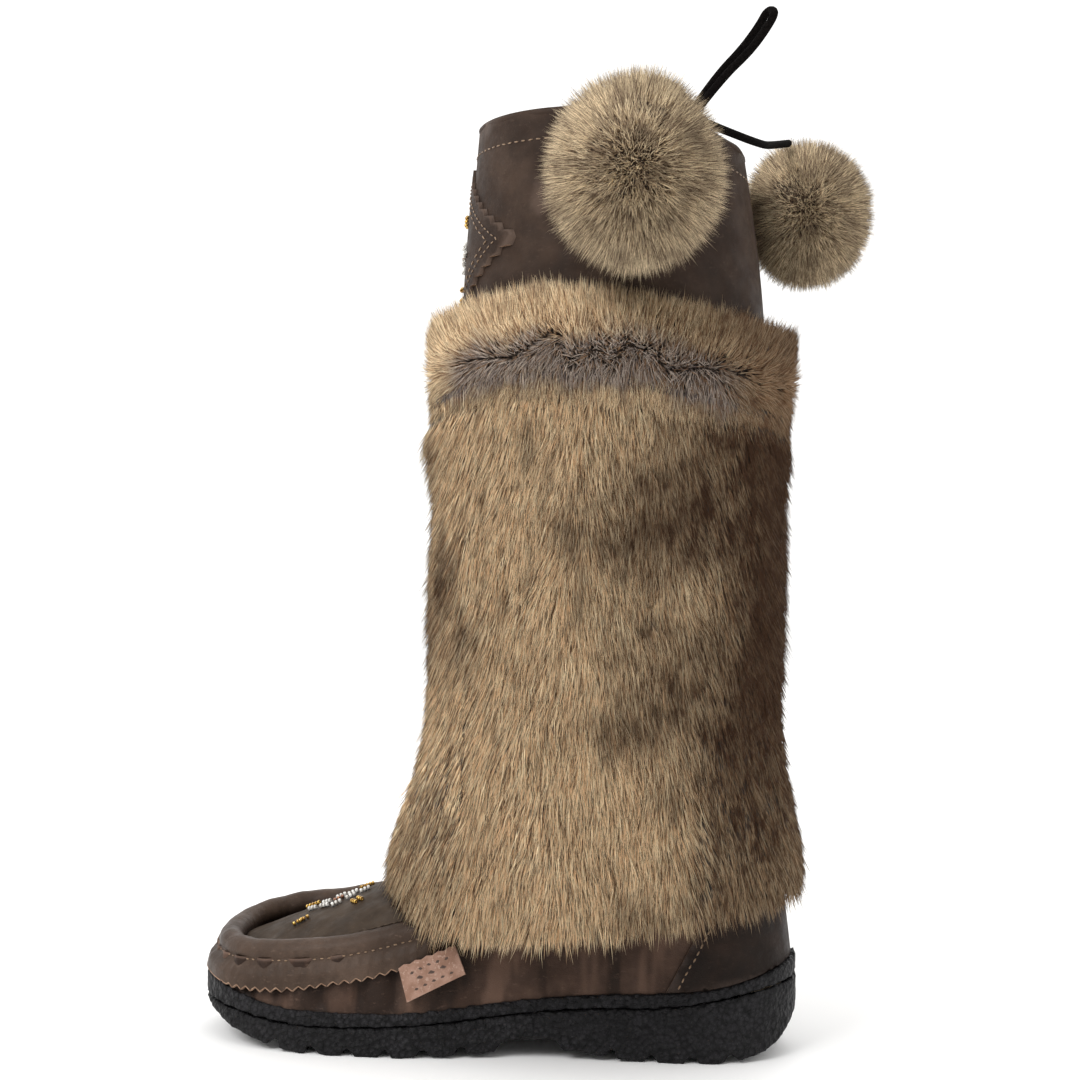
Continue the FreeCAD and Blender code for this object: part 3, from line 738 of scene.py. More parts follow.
def lie(point, along, out, length, wide, high):
    x = Vector(along).normalized()
    z = Vector(out)
    z = (z - x * z.dot(x)).normalized()
    y = z.cross(x)
    turned = Matrix((x * length, y * wide, z * high)).transposed().to_4x4()
    return Matrix.Translation(point) @ turned


def sewn(name, run, ways, pitch, share, wide, body="boot"):
    # a row of stitches along a run of points lying on a leather
    run = [Vector(p) for p in run]
    lengths = [0.0]
    for a, b in zip(run, run[1:]):
        lengths.append(lengths[-1] + (b - a).length)
    count = max(2, int(lengths[-1] / pitch))
    places = []
    for k in range(count):
        middle = (k + 0.5) * lengths[-1] / count
        spot = [float(np.interp(middle, lengths, [p[i] for p in run])) for i in range(3)]
        ahead = [float(np.interp(middle + pitch * 0.3, lengths, [p[i] for p in run])) for i in range(3)]
        back = [float(np.interp(middle - pitch * 0.3, lengths, [p[i] for p in run])) for i in range(3)]
        way = [float(np.interp(middle, lengths, [w[i] for w in ways])) for i in range(3)]
        along = Vector(ahead) - Vector(back)
        lean = Matrix.Rotation(0.10 * math.sin(k * 2.4), 4, Vector(way))
        places.append(lie(Vector(spot), lean @ along, way, pitch * share / 2, wide, wide * 0.8))
    master = blank("stitch to copy")
    row = scatter(name, master, places)
    bpy.data.objects.remove(master)
    wear(row, thread_finish, "thread", body)
    return row


SEAM_AT = 0.075
seam_run = []
seam_ways = []
for i in range(240):
    u = 0.004 + 0.992 * i / 239
    out = round_foot(-SKIRT_SPAN + 2 * SKIRT_SPAN * u)[1]
    seam_run.append(skirt_place(u, SEAM_AT) + out * (SKIRT_THICK / 2 + 0.0002))
    seam_ways.append(out)
sewn("roll_seam_stitches", seam_run, seam_ways, 0.0034, 0.5, 0.00034)

# ---------------------------------------------------------------------------
# Heel counter: a second hide lapped over the back of the foot, with a pale
# raw front edge and a line of thread just behind it.
# ---------------------------------------------------------------------------
HEEL_DARK = (0.012, 0.0068, 0.0045)
HEEL_PALE = (0.028, 0.0165, 0.0115)
heel_finish = oiled_leather("oiled heel leather", HEEL_DARK, HEEL_PALE, 11.0, 1.0, 0.4)
counter = from_cad("heel_counter", "heel_counter_patch")
wear(counter, heel_finish, "upper_leather", "boot", "heel_counter", angle=35)
edge_dyed(counter, lambda face: face.normal.x < -0.45 and abs(face.normal.y) < 0.8
          and face.center.x < 0.1, raw_finish)
counter_surface = surface_of("heel_counter")
counter_low, counter_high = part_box("heel_counter")
COUNTER_SEAM_IN = 0.0042
for side in (-1, 1):
    run = []
    ways = []
    for i in range(24):
        z = counter_low.z + 0.001 + (counter_high.z - counter_low.z) * i / 23 * 0.98
        edge = None
        x = counter_low.x - 0.004
        while edge is None and x < 0.11:
            x += 0.0005
            point, way, _, _ = counter_surface.ray_cast(Vector((x, side * 0.1, z)), Vector((0, -side, 0)))
            if point is not None and (point.y * side) > 0.01:
                edge = x
        if edge is None:
            continue
        start = Vector((edge + COUNTER_SEAM_IN, side * 0.1, z))
        point, way, _, _ = counter_surface.ray_cast(start, Vector((0, -side, 0)))
        if point is not None:
            run.append(point + way * 0.0002)
            ways.append(way)
    sewn("counter_stitches_" + ("outer" if side < 0 else "inner"), run, ways, 0.0034, 0.66, 0.0004)

# ---------------------------------------------------------------------------
# Side tab: a slip of undyed leather caught in the outer seam. Its top edge is
# pinked, and a plain row of lozenges is pressed into it as an ornament.
# ---------------------------------------------------------------------------
tab_low, tab_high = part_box("side_tab")
TAB_LIFT = 0.0043
TAB_THICK = 0.0015
TAB_TEETH = 5
tab_wide = tab_high.x - tab_low.x
tab_tall = tab_high.z - tab_low.z
TAB_A = Vector((tab_low.x, 0, tab_low.z + 0.61 * tab_tall))
TAB_B = Vector((tab_low.x + 0.815 * tab_wide, 0, tab_high.z))
TAB_C = Vector((tab_high.x, 0, tab_low.z + 0.51 * tab_tall))
TAB_D = Vector((tab_low.x + 0.155 * tab_wide, 0, tab_low.z))


def tab_spot(u, v, lift=0.0):
    teeth = 0.055 * abs((u * TAB_TEETH) % 1.0 - 0.5) * 2
    v = v * (1.0 - teeth)
    spot = (TAB_A * (1 - u) + TAB_B * u) * v + (TAB_D * (1 - u) + TAB_C * u) * (1 - v)
    curl = 0.0016 * u ** 3 * (1.2 - v) + 0.0006 * (1 - v) ** 2
    return wall_at(foot_share(spot.x, -1), spot.z, TAB_LIFT + curl + lift)


tab_finish, tree, shader, place = start_finish("undyed tab leather", Roughness=0.62, Specular_IOR_Level=0.3)
tone = dye(tree, ease(tree, noise(tree, place, 160.0, 5.0), 0.35, 0.65), (0.235, 0.128, 0.086),
           (0.33, 0.198, 0.145))
tone = dye(tree, ease(tree, noise(tree, place, 800.0, 4.0), 0.55, 0.7), tone, (0.40, 0.27, 0.21))
tree.links.new(tone, shader.inputs["Base Color"])
relief(tree, shader, noise(tree, place, 1800.0, 3.0), 0.0003, 0.6)
tab = sheet_round("side_tab_leather", 60, 24, tab_spot)
thicken(tab, TAB_THICK, 0.0)
wear(tab, tab_finish, "tab_leather", "boot", "side_tab", angle=50)

pressed_finish, tree, shader, place = start_finish("pressed dark dye", Roughness=0.5)
tree.links.new(dye(tree, noise(tree, place, 900.0), (0.035, 0.018, 0.012), (0.075, 0.04, 0.028)),
               shader.inputs["Base Color"])
places = []
for row, (count, size) in enumerate(((5, 0.0011), (3, 0.0017), (5, 0.0011))):
    for k in range(count):
        u = 0.5 + (k - (count - 1) / 2) * (0.15 if count == 5 else 0.2)
        v = 0.74 - 0.25 * row
        spot = tab_spot(u, v, TAB_THICK / 2 - 0.00005)
        along = tab_spot(u + 0.05, v, TAB_THICK / 2) - spot
        places.append(lie(spot, along, (0, -1, 0), size, size * 0.62, 0.00012))
bpy.ops.object.select_all(action='DESELECT')
bpy.ops.mesh.primitive_cylinder_add(vertices=4, radius=1.0, depth=2.0)
lozenge = bpy.context.object
bpy.ops.object.mode_set(mode='EDIT')
bpy.ops.mesh.bevel(offset=0.12, segments=1)
bpy.ops.object.mode_set(mode='OBJECT')
ornament = scatter("tab_pressed_lozenges", lozenge, places)
bpy.data.objects.remove(lozenge)
wear(ornament, pressed_finish, "tab_leather", "boot", angle=30)

# ---------------------------------------------------------------------------
# Shaft: one waxed hide joined up the back, open at the top. Its rim is turned
# in over the drawcord and sewn down with a row of tan thread.
# ---------------------------------------------------------------------------
SHAFT_DARK = (0.026, 0.0148, 0.0098)
SHAFT_PALE = (0.052, 0.032, 0.022)
shaft_finish = oiled_leather("waxed shaft leather", SHAFT_DARK, SHAFT_PALE, 5.0, 0.7, 0.5)
shaft = from_cad("shaft_leather", "shaft_hide")
wear(shaft, shaft_finish, "shaft_leather", "boot", "shaft_leather", angle=40)
shaft_skin = surface_of("shaft_leather")
shaft_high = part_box("shaft_leather")[1]
SHAFT_MID = Vector((0.043, 0, 0))


def round_shaft(angle):
    return Vector((-math.cos(angle), -math.sin(angle), 0))


def shaft_hit(angle, z, skin=None):
    out = round_shaft(angle)
    start = SHAFT_MID + out * 0.14 + Vector((0, 0, z))
    point, way, _, _ = (skin or shaft_skin).ray_cast(start, -out)
    return point, way


def rim_of_shaft(angle):
    z = shaft_high.z + 0.002
    out = round_shaft(angle)
    while True:
        point, _ = shaft_hit(angle, z)
        if point is not None and (point - SHAFT_MID).dot(out) > 0.03:
            return z
        z -= 0.0004


HEM_TALL = 0.013
RIM_FAT = 0.0017
RIM_STEPS = 96
rim_zs = [rim_of_shaft(2 * math.pi * k / RIM_STEPS) for k in range(RIM_STEPS)]
for _ in range(3):
    rim_zs = [(rim_zs[k - 1] + 2 * rim_zs[k] + rim_zs[(k + 1) % RIM_STEPS]) / 4 for k in range(RIM_STEPS)]
rim_points = []
for k in range(RIM_STEPS):
    angle = 2 * math.pi * k / RIM_STEPS
    point, way = shaft_hit(angle, rim_zs[k] - 0.0025)
    tuck = 0.0004 * math.sin(angle * 17 + math.sin(angle * 5))
    rim_points.append(Vector((point.x, point.y, rim_zs[k] - 0.0012)) - round_shaft(angle) * (0.0014 + tuck))
rim_fold = bent_tube("turned_rim", rim_points, RIM_FAT, 4, 3, 4, True)
only(rim_fold)
bpy.ops.object.convert(target='MESH')
wear(rim_fold, shaft_finish, "shaft_leather", "boot")
hem_run = []
hem_ways = []
for k in range(RIM_STEPS * 2 + 1):
    angle = math.pi * k / RIM_STEPS
    z = float(np.interp((k / 2) % RIM_STEPS, range(RIM_STEPS + 1), rim_zs + rim_zs[:1])) - HEM_TALL
    point, way = shaft_hit(angle, z)
    hem_run.append(point + way * 0.00015)
    hem_ways.append(way)
sewn("hem_stitches", hem_run, hem_ways, 0.0040, 0.64, 0.00036)

# ---------------------------------------------------------------------------
# Diamond patch: a pinked leather lozenge wrapped round the shaft's front and
# held by two rows of thread that follow its edge.
# ---------------------------------------------------------------------------
patch = from_cad("front_patch", "diamond_patch")
wear(patch, shaft_finish, "shaft_leather", "boot", "front_patch", angle=40)
edge_dyed(patch, lambda face: abs(face.normal.x) < 0.75 and abs(face.normal.z) > 0.3, raw_finish)
patch_skin = surface_of("front_patch")
patch_low, patch_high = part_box("front_patch")
patch_mid = (patch_low + patch_high) / 2
patch_half_y = (patch_high.y - patch_low.y) / 2
patch_half_z = (patch_high.z - patch_low.z) / 2


def on_patch(y, z, skin=None):
    point, way, _, _ = (skin or patch_skin).ray_cast(Vector((-0.2, y, z)), Vector((1, 0, 0)))
    return point, way


for row, inset in enumerate((0.0036, 0.0068)):
    corners = []
    for k in range(4):
        angle = math.pi / 2 * k
        corners.append(((patch_half_y - inset * 1.6) * math.sin(angle),
                        patch_mid.z + (patch_half_z - inset * 1.4) * math.cos(angle)))
    run = []
    ways = []
    for k in range(4):
        (ya, za), (yb, zb) = corners[k], corners[(k + 1) % 4]
        for step in range(30):
            point, way = on_patch(ya + (yb - ya) * step / 30, za + (zb - za) * step / 30)
            if point is not None:
                run.append(point + way * 0.0002)
                ways.append(way)
    run.append(run[0])
    ways.append(ways[0])
    sewn("patch_stitches_%d" % (row + 1), run, ways, 0.0033 + 0.0012 * row, 0.62, 0.00034 + 0.00005 * row)

# ---------------------------------------------------------------------------
# Beadwork: glass seed beads strung three to a stitch and laid down in slanted
# rows, a white lozenge flower with a copper heart, and gold sprigs by it.
# ---------------------------------------------------------------------------
BEAD_RING = 0.00064
BEAD_FAT = 0.00047
BEAD_STEP = 0.00172
STITCH_LONG = 0.0062
STITCH_TALL = 0.0031


def bead_finish(name, dark, pale, metal=0.0, rough=0.12):
    finish, tree, shader, place = start_finish(name, Metallic=metal, Coat_Weight=0.6, Coat_Roughness=0.08)
    tree.links.new(dye(tree, ease(tree, noise(tree, place, 480.0, 2.0), 0.4, 0.6), dark, pale),
                   shader.inputs["Base Color"])
    tree.links.new(ease(tree, noise(tree, place, 900.0, 2.0), 0.3, 0.7, rough, rough + 0.14),
                   shader.inputs["Roughness"])
    return finish


bead_white = bead_finish("chalk white glass", (0.62, 0.59, 0.54), (0.86, 0.85, 0.81))
bead_copper = bead_finish("copper lined glass", (0.20, 0.075, 0.035), (0.48, 0.22, 0.11), 0.6, 0.16)
bead_gold = bead_finish("gold lined amber glass", (0.36, 0.19, 0.03), (0.72, 0.46, 0.10), 0.75, 0.12)
bead_places = {"white": [], "copper": [], "gold": []}


def bead_row(kind, spot_of, a, b, slant, count=3):
    for k in range(count):
        step = (k - (count - 1) / 2) * BEAD_STEP
        a_here = a + step * math.cos(slant)
        b_here = b + step * math.sin(slant)
        point, way = spot_of(a_here, b_here)
        ahead, _ = spot_of(a_here + 0.0006 * math.cos(slant), b_here + 0.0006 * math.sin(slant))
        if point is None or ahead is None:
            continue
        bead_places[kind].append(lie(point + way * (BEAD_RING + BEAD_FAT) * 0.92, ahead - point, way, 1.0,
                                     1.0, 1.0))


def flower(spot_of, side):
    for j in range(-2, 3):
        for i in range(-3, 4):
            if (i + j) % 2 or abs(i) + abs(j) > 3:
                continue
            kind = "copper" if i == 0 and j == 0 else "white"
            lean = 0.42 if i * side >= 0 else -0.42
            bead_row(kind, spot_of, i * STITCH_LONG, j * STITCH_TALL, lean)


def sprig(spot_of, a, b, rows, lean):
    for k in range(rows):
        bead_row("gold", spot_of, a + (k - (rows - 1) / 2) * 0.0026, b + 0.0009 * (k % 2), lean, 3)


FLOWER_Z = patch_mid.z - 0.003


def patch_spot(a, b):
    # a is measured round the shaft's front, so it closes up towards the sides
    return on_patch(0.062 * math.sin(a / 0.062), FLOWER_Z + b)


flower(patch_spot, 1)
sprig(patch_spot, 0.0, 0.0165, 4, 1.35)
sprig(patch_spot, 0.0, -0.0150, 2, 0.2)
sprig(patch_spot, 0.0, -0.0215, 2, 1.4)
plug_skin = surface_of("plug")
plug_beads_low, plug_beads_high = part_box("plug_beads")
FLOWER_X = (plug_beads_low.x + plug_beads_high.x) / 2


def plug_spot(a, b):
    point, way, _, _ = plug_skin.ray_cast(Vector((FLOWER_X + a, b, 0.2)), Vector((0, 0, -1)))
    return point, way


flower(plug_spot, 1)
for side in (-1, 1):
    sprig(plug_spot, -0.0150, side * 0.0135, 2, -0.5 * side)
    sprig(plug_spot, 0.0110, side * 0.0130, 2, 0.9 * side)
bpy.ops.object.select_all(action='DESELECT')
bpy.ops.mesh.primitive_torus_add(major_segments=8, minor_segments=5, major_radius=BEAD_RING,
                                 minor_radius=BEAD_FAT, rotation=(0, math.pi / 2, 0))
bead = bpy.context.object
bpy.ops.object.transform_apply(location=False, rotation=True, scale=False)
bead.data.transform(Matrix.Diagonal((1.5, 1, 1, 1)))
for kind, finish in (("white", bead_white), ("copper", bead_copper), ("gold", bead_gold)):
    piece = scatter("seed_beads_" + kind, bead, bead_places[kind])
    wear(piece, finish, "beads", "boot")
bpy.data.objects.remove(bead)
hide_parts("patch_beads", "plug_beads")

# ---------------------------------------------------------------------------
# Inside: fleece linings and footbed, fibre board, steel shank, thermoplastic
# stiffeners, the felt filler of the roll and the turned-in hem.
# ---------------------------------------------------------------------------


def dress(node, finish):
    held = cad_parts[node]
    held.data.materials.clear()
    held.data.materials.append(finish)


fleece_finish, tree, shader, place = start_finish("cream fleece", Roughness=0.95, Sheen_Weight=0.35)
curls = noise(tree, place, 420.0, 5.0, 0.7)
tree.links.new(dye(tree, ease(tree, curls, 0.35, 0.65), (0.36, 0.29, 0.20), (0.66, 0.58, 0.45)),
               shader.inputs["Base Color"])
relief(tree, shader, curls, 0.0022, 1.0)
relief(tree, shader, cells(tree, place, 300.0), 0.0016, 0.8)
felt_finish, tree, shader, place = start_finish("felt and board", Roughness=0.9)
tree.links.new(dye(tree, noise(tree, place, 500.0, 5.0), (0.32, 0.25, 0.17), (0.55, 0.46, 0.34)),
               shader.inputs["Base Color"])
relief(tree, shader, noise(tree, place, 1400.0, 4.0), 0.0004, 0.8)
steel_finish, tree, shader, place = start_finish("stamped steel", Metallic=1.0)
tree.links.new(dye(tree, noise(tree, place, 90.0, 4.0), (0.36, 0.36, 0.37), (0.56, 0.56, 0.57)),
               shader.inputs["Base Color"])
tree.links.new(ease(tree, noise(tree, place, 300.0, 3.0, 0.5, (0.2, 3.0, 1.0)), 0.3, 0.7, 0.3, 0.5),
               shader.inputs["Roughness"])
for node in ("foot_lining", "footbed", "shaft_lining"):
    dress(node, fleece_finish)
for node in ("insole_board", "toe_puff", "heel_stiffener", "collar_filler"):
    dress(node, felt_finish)
dress("shank", steel_finish)
dress("top_hem", shaft_finish)

# ---------------------------------------------------------------------------
# Fur pelts: four dressed pelts sewn round the shaft, hair down. Each is a
# skin with dense dark underwool, its dark colour partly painted shade for the
# gaps between the hairs, and a coat of tapered guard hairs, banded grey at
# the root, tan in the middle and brown at the tip.
# ---------------------------------------------------------------------------


def hair_piece(name, roots, ways, long, wide, finish, slot_name, body, seed):
    # each hair is a closed spike: three corners round its root and one at its tip
    draw = np.random.default_rng(seed)
    count = len(roots)
    axis = ways / np.linalg.norm(ways, axis=1)[:, None]
    side = np.cross(axis, draw.normal(size=(count, 3)))
    side /= np.linalg.norm(side, axis=1)[:, None]
    other = np.cross(axis, side)
    points = np.empty((count, 4, 3))
    points[:, 3] = roots + axis * long[:, None]
    for k in range(3):
        a = 2 * math.pi * k / 3
        points[:, k] = roots + (side * math.cos(a) + other * math.sin(a)) * (wide / 2)[:, None]
    corner = np.array([2, 1, 0, 0, 1, 3, 1, 2, 3, 2, 0, 3])
    order = (np.arange(count)[:, None] * 4 + corner[None, :]).ravel()
    shape = bpy.data.meshes.new(name)
    shape.vertices.add(count * 4)
    shape.vertices.foreach_set("co", points.ravel())
    shape.loops.add(len(order))
    shape.loops.foreach_set("vertex_index", order)
    shape.polygons.add(count * 4)
    shape.polygons.foreach_set("loop_start", np.arange(count * 4) * 3)
    shape.polygons.foreach_set("loop_total", np.full(count * 4, 3))
    shape.update(calc_edges=True)
    strand_map = shape.uv_layers.new(name="strand")
    uv = np.empty((count, 12, 2))
    uv[:, :, 0] = draw.uniform(size=count)[:, None]
    uv[:, :, 1] = np.where(corner == 3, 1.0, 0.0)[None, :]
    strand_map.data.foreach_set("uv", uv.ravel())
    made = bpy.data.objects.new(name, shape)
    bpy.context.collection.objects.link(made)
    wear(made, finish, slot_name, body)
    return made


def cad_faces(node):
    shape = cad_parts[node].data
    shape.calc_loop_triangles()
    co = np.array([v.co for v in shape.vertices])
    corners = np.array([list(face.vertices) for face in shape.loop_triangles])
    tri = co[corners]
    cross = np.cross(tri[:, 1] - tri[:, 0], tri[:, 2] - tri[:, 0])
    size = np.linalg.norm(cross, axis=1)
    keep = size > 1e-12
    return tri[keep], size[keep] / 2, cross[keep] / size[keep][:, None]


def roots_on(node, count, seed, wanted):
    draw = np.random.default_rng(seed)
    tri, size, way = cad_faces(node)
    middle = tri.mean(axis=1)
    weight = size * wanted(middle, way)
    pick = draw.choice(len(tri), size=count, p=weight / weight.sum())
    a = np.sqrt(draw.uniform(size=count))
    b = draw.uniform(size=count)
    share = np.stack((1 - a, a * (1 - b), a * b), axis=1)
    return (tri[pick] * share[:, :, None]).sum(axis=1), way[pick]


FUR_MID_X = SHAFT_MID.x + 0.004


def from_leg(co):
    # the level way out from the leg's middle at each point
    radial = co - np.array((FUR_MID_X, 0, 0))
    radial[:, 2] = 0
    return radial / np.linalg.norm(radial, axis=1)[:, None]


def outward(middle, way):
    # 1 where a face looks out from the leg, less on a lower hem, else 0
    radial = from_leg(middle)
    out = (way * radial).sum(axis=1)
    return np.where(out > 0.25, 1.0, 0.0) + np.where((way[:, 2] < -0.4) & (out > -0.3), 0.7, 0.0)


ROOT_GREY = (0.085, 0.074, 0.068)
TAN = (0.88, 0.565, 0.315)
PALE_TAN = (1.0, 0.81, 0.53)
DEEP_TAN = (0.085, 0.043, 0.023)
TIP_BROWN = (0.055, 0.030, 0.017)


def coat_finish(name, tan, deep, dusk_of, blue_of=None, tip_low=0.62):
    finish, tree, shader, place = start_finish(name, Roughness=0.6, Specular_IOR_Level=0.12)
    strand = put(tree, "ShaderNodeUVMap", uv_map="strand").outputs["UV"]
    split = put(tree, "ShaderNodeSeparateXYZ", {"Vector": strand})
    share, along = split.outputs["X"], split.outputs["Y"]
    spot = put(tree, "ShaderNodeSeparateXYZ", {"Vector": place})
    dusk = dusk_of(tree, place, spot)
    banded = dye(tree, ease(tree, share, 0.30, 1.0), tan, PALE_TAN)
    banded = dye(tree, ease(tree, share, 0.24, 0.34, 0.85, 0.0), banded, deep)
    banded = dye(tree, dusk, banded, deep)
    sooty = ease(tree, sums(tree, 'ADD', share, sums(tree, 'MULTIPLY', dusk, -0.35)), 0.30, 0.42, 1.0, 0.0)
    tip = sums(tree, 'MULTIPLY', ease(tree, along, tip_low, 0.95), sooty)
    banded = dye(tree, tip, banded, TIP_BROWN)
    grey = ease(tree, along, 0.18, 0.44, 1.0, 0.0)
    if blue_of is not None:
        blue = blue_of(tree, place, spot)
        grey = sums(tree, 'MAXIMUM', grey, sums(tree, 'MULTIPLY', blue, ease(tree, share, 0.12, 0.4)))
        root = dye(tree, blue, ROOT_GREY, dye(tree, ease(tree, share, 0.2, 0.9), (0.130, 0.105, 0.100),
                                              (0.52, 0.43, 0.36)))
    else:
        root = ROOT_GREY
    tree.links.new(dye(tree, grey, banded, root), shader.inputs["Base Color"])
    return finish


def pelt_dusk(tree, place, spot):
    wander = sums(tree, 'MULTIPLY', sums(tree, 'ADD', noise(tree, place, 14.0, 3.0), -0.5), 0.17)
    x = sums(tree, 'ADD', spot.outputs["X"], wander)
    dark = ease(tree, x, 0.034, 0.106, 0.0, 0.94)
    front = ease(tree, x, -0.046, -0.012, 0.55, 0.0)
    pucker_light_streak = ease(tree, noise(tree, place, 60.0, 4.0, 0.6, (1.0, 1.0, 0.28)), 0.54, 0.72, 0.0, 0.36)
    fleck = ease(tree, noise(tree, place, 260.0, 3.0, 0.6, (1.0, 1.0, 0.4)), 0.45, 0.68, 0.0, 0.26)
    low = ease(tree, spot.outputs["Z"], 0.06, 0.17, -0.34, 0.0)
    total = sums(tree, 'ADD', sums(tree, 'MAXIMUM', dark, front), sums(tree, 'ADD', pucker_light_streak, fleck))
    return sums(tree, 'MINIMUM', sums(tree, 'MAXIMUM', sums(tree, 'ADD', total, low), 0.0), 1.0)


pelt_coat = coat_finish("agouti guard hair", TAN, DEEP_TAN, pelt_dusk)
# the skin under the hairs: its near-black colour is the underwool's own dark tone and also painted shade for
# the gaps between the hairs
underwool_gap_shade_finish, tree, shader, place = start_finish("dark underwool", Roughness=0.95)
tree.links.new(dye(tree, ease(tree, noise(tree, place, 220.0, 5.0), 0.3, 0.7), (0.030, 0.020, 0.014),
                   (0.085, 0.060, 0.043)), shader.inputs["Base Color"])
relief(tree, shader, noise(tree, place, 500.0, 5.0), 0.002, 1.0)
WOOL_SINK = 0.0045
ROOT_SINK = 0.0044
HAIR_LONG = 0.0135
PELT_HAIRS = {"fur_outer_side": (41500, 2), "fur_inner_side": (40000, 1), "fur_front": (40000, 1),
              "fur_back": (41000, 1)}
TURNS = 72
TIER = 0.010
CLEAR_HEM = 0.0105
pelt_points = np.concatenate([[v.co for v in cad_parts[node].data.vertices] for node in PELT_HAIRS])


def turn_of(co):
    # where a point lies round the leg, counted in TURNS
    return (np.arctan2(co[:, 1], co[:, 0] - SHAFT_MID.x) / (2 * math.pi) + 0.5) * TURNS


pelt_turns = turn_of(pelt_points)
hems = []
for k in range(TURNS):
    beside = np.abs((pelt_turns - k + TURNS / 2) % TURNS - TURNS / 2) < 2.0
    hems.append(pelt_points[beside][:, 2].min())
hems = np.array(hems)
for _ in range(2):
    hems = (np.roll(hems, 1) + 2 * hems + np.roll(hems, -1)) / 4


def above_hem(co):
    return co[:, 2] - np.interp(turn_of(co), range(TURNS + 1), np.append(hems, hems[0]))


# the way out from the leg, evened over neighbouring hairs so that no facet or seam shows
ways_grid = np.zeros((TURNS, 48, 3))
for node in PELT_HAIRS:
    roots, way = roots_on(node, 20000, 7, outward)
    turns = np.rint(turn_of(roots)).astype(int) % TURNS
    tiers = np.rint(roots[:, 2] / TIER).astype(int)
    np.add.at(ways_grid, (turns, tiers), way)
for _ in range(3):
    ways_grid = np.roll(ways_grid, 1, 0) + 2 * ways_grid + np.roll(ways_grid, -1, 0)
    ways_grid[:, 1:-1] = ways_grid[:, :-2] + 2 * ways_grid[:, 1:-1] + ways_grid[:, 2:]
    ways_grid /= 16


def evened(co):
    a = turn_of(co)
    b = co[:, 2] / TIER
    a_low = np.floor(a).astype(int)
    b_low = np.floor(b).astype(int)
    a_part = (a - a_low)[:, None]
    b_part = (b - b_low)[:, None]
    way = ways_grid[a_low % TURNS, b_low] * (1 - a_part) * (1 - b_part)
    way += ways_grid[(a_low + 1) % TURNS, b_low] * a_part * (1 - b_part)
    way += ways_grid[a_low % TURNS, b_low + 1] * (1 - a_part) * b_part
    way += ways_grid[(a_low + 1) % TURNS, b_low + 1] * a_part * b_part
    return way / np.maximum(np.linalg.norm(way, axis=1), 1e-6)[:, None]


def wool(node, name, sink):
    base = from_cad(node, name)
    remesh(base, 0.0029, 2)
    co = spots(base)
    way = facing(base)
    radial = from_leg(co)
    share = np.clip(((way * radial).sum(axis=1) - 0.1) / 0.3, 0, 1)
    share = np.maximum(share, np.clip(-way[:, 2] * 0.8, 0, 1))
    co -= way * (share * (sink + 0.0008 * rolling(co, 0.02, 8, 2)))[:, None]
    over = above_hem(co)
    co[:, 2] += np.where(over < CLEAR_HEM, (CLEAR_HEM - over) * 0.65, 0.0)
    move_to(base, co)
    return base


for number, (node, (hairs, parts)) in enumerate(PELT_HAIRS.items()):
    base = wool(node, node + "_skin", WOOL_SINK)
    wear(base, underwool_gap_shade_finish, "fur", "boot", node)
    for part in range(parts):
        seed = 100 + number * 10 + part
        draw = np.random.default_rng(seed)
        roots, way = roots_on(node, int(hairs * 1.12), seed, outward)
        roots = roots[above_hem(roots) > CLEAR_HEM][:hairs]
        hairs = len(roots)
        way = evened(roots)
        calm = rolling(roots, 0.05, 31, 2)
        twist = rolling(roots, 0.034, 32, 3)
        clump = rolling(roots, 0.007, 33, 2)
        down = np.array((0.0, 0.0, -1.0))
        flat = np.cross(way, down)
        flat /= np.maximum(np.linalg.norm(flat, axis=1), 0.2)[:, None]
        lift = 0.34 + 0.09 * calm + 0.08 * clump + draw.normal(0, 0.09, hairs)
        sway = 0.20 * twist + 0.10 * clump + draw.normal(0, 0.15, hairs)
        lie_way = way * lift[:, None] + down + flat * sway[:, None]
        long = HAIR_LONG * (1 + 0.10 * clump + draw.normal(0, 0.16, hairs))
        wide = draw.uniform(0.00050, 0.00092, hairs)
        hair_piece(node + "_coat_%d" % (part + 1), roots - way * ROOT_SINK, lie_way, long, wide,
                   pelt_coat, "fur", "boot", seed)

# ---------------------------------------------------------------------------
# Top fold: the pelts' upper edge rolled outwards on itself. The hair parts
# along it, so that a band of blue-grey underfur shows between tan ridges.
# ---------------------------------------------------------------------------
fold_low, fold_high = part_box("fur_top_fold")
fold_corners = np.array([v.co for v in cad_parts["fur_top_fold"].data.vertices])
fold_bins = np.linspace(fold_low.x, fold_high.x, 24)
fold_tops = []
for x in fold_bins:
    fold_tops.append(fold_corners[np.abs(fold_corners[:, 0] - x) < 0.008][:, 2].max())
FOLD_TALL = 0.036
PART_AT = 0.44
PART_SOFT = 0.24
FOLD_SINK = 0.004
FOLD_ROOT_SINK = 0.0048
FOLD_HAIR_LONG = 0.0125


def fold_blue(tree, place, spot):
    x = spot.outputs["X"]
    front_dip = ease(tree, x, -0.035, 0.02, -0.006, 0.0)
    slope = sums(tree, 'ADD', front_dip, ease(tree, x, 0.045, 0.12, 0.0, -0.012))
    z = sums(tree, 'SUBTRACT', spot.outputs["Z"], slope)
    ragged = sums(tree, 'MULTIPLY', sums(tree, 'ADD', noise(tree, place, 60.0, 5.0, 0.65), -0.5), 0.034)
    z = sums(tree, 'ADD', z, ragged)
    band = sums(tree, 'MULTIPLY', ease(tree, z, 0.289, 0.303), ease(tree, z, 0.312, 0.325, 1.0, 0.0))
    span = sums(tree, 'MULTIPLY', ease(tree, x, -0.034, -0.018), ease(tree, x, 0.092, 0.115, 1.0, 0.0))
    return sums(tree, 'MULTIPLY', band, span)


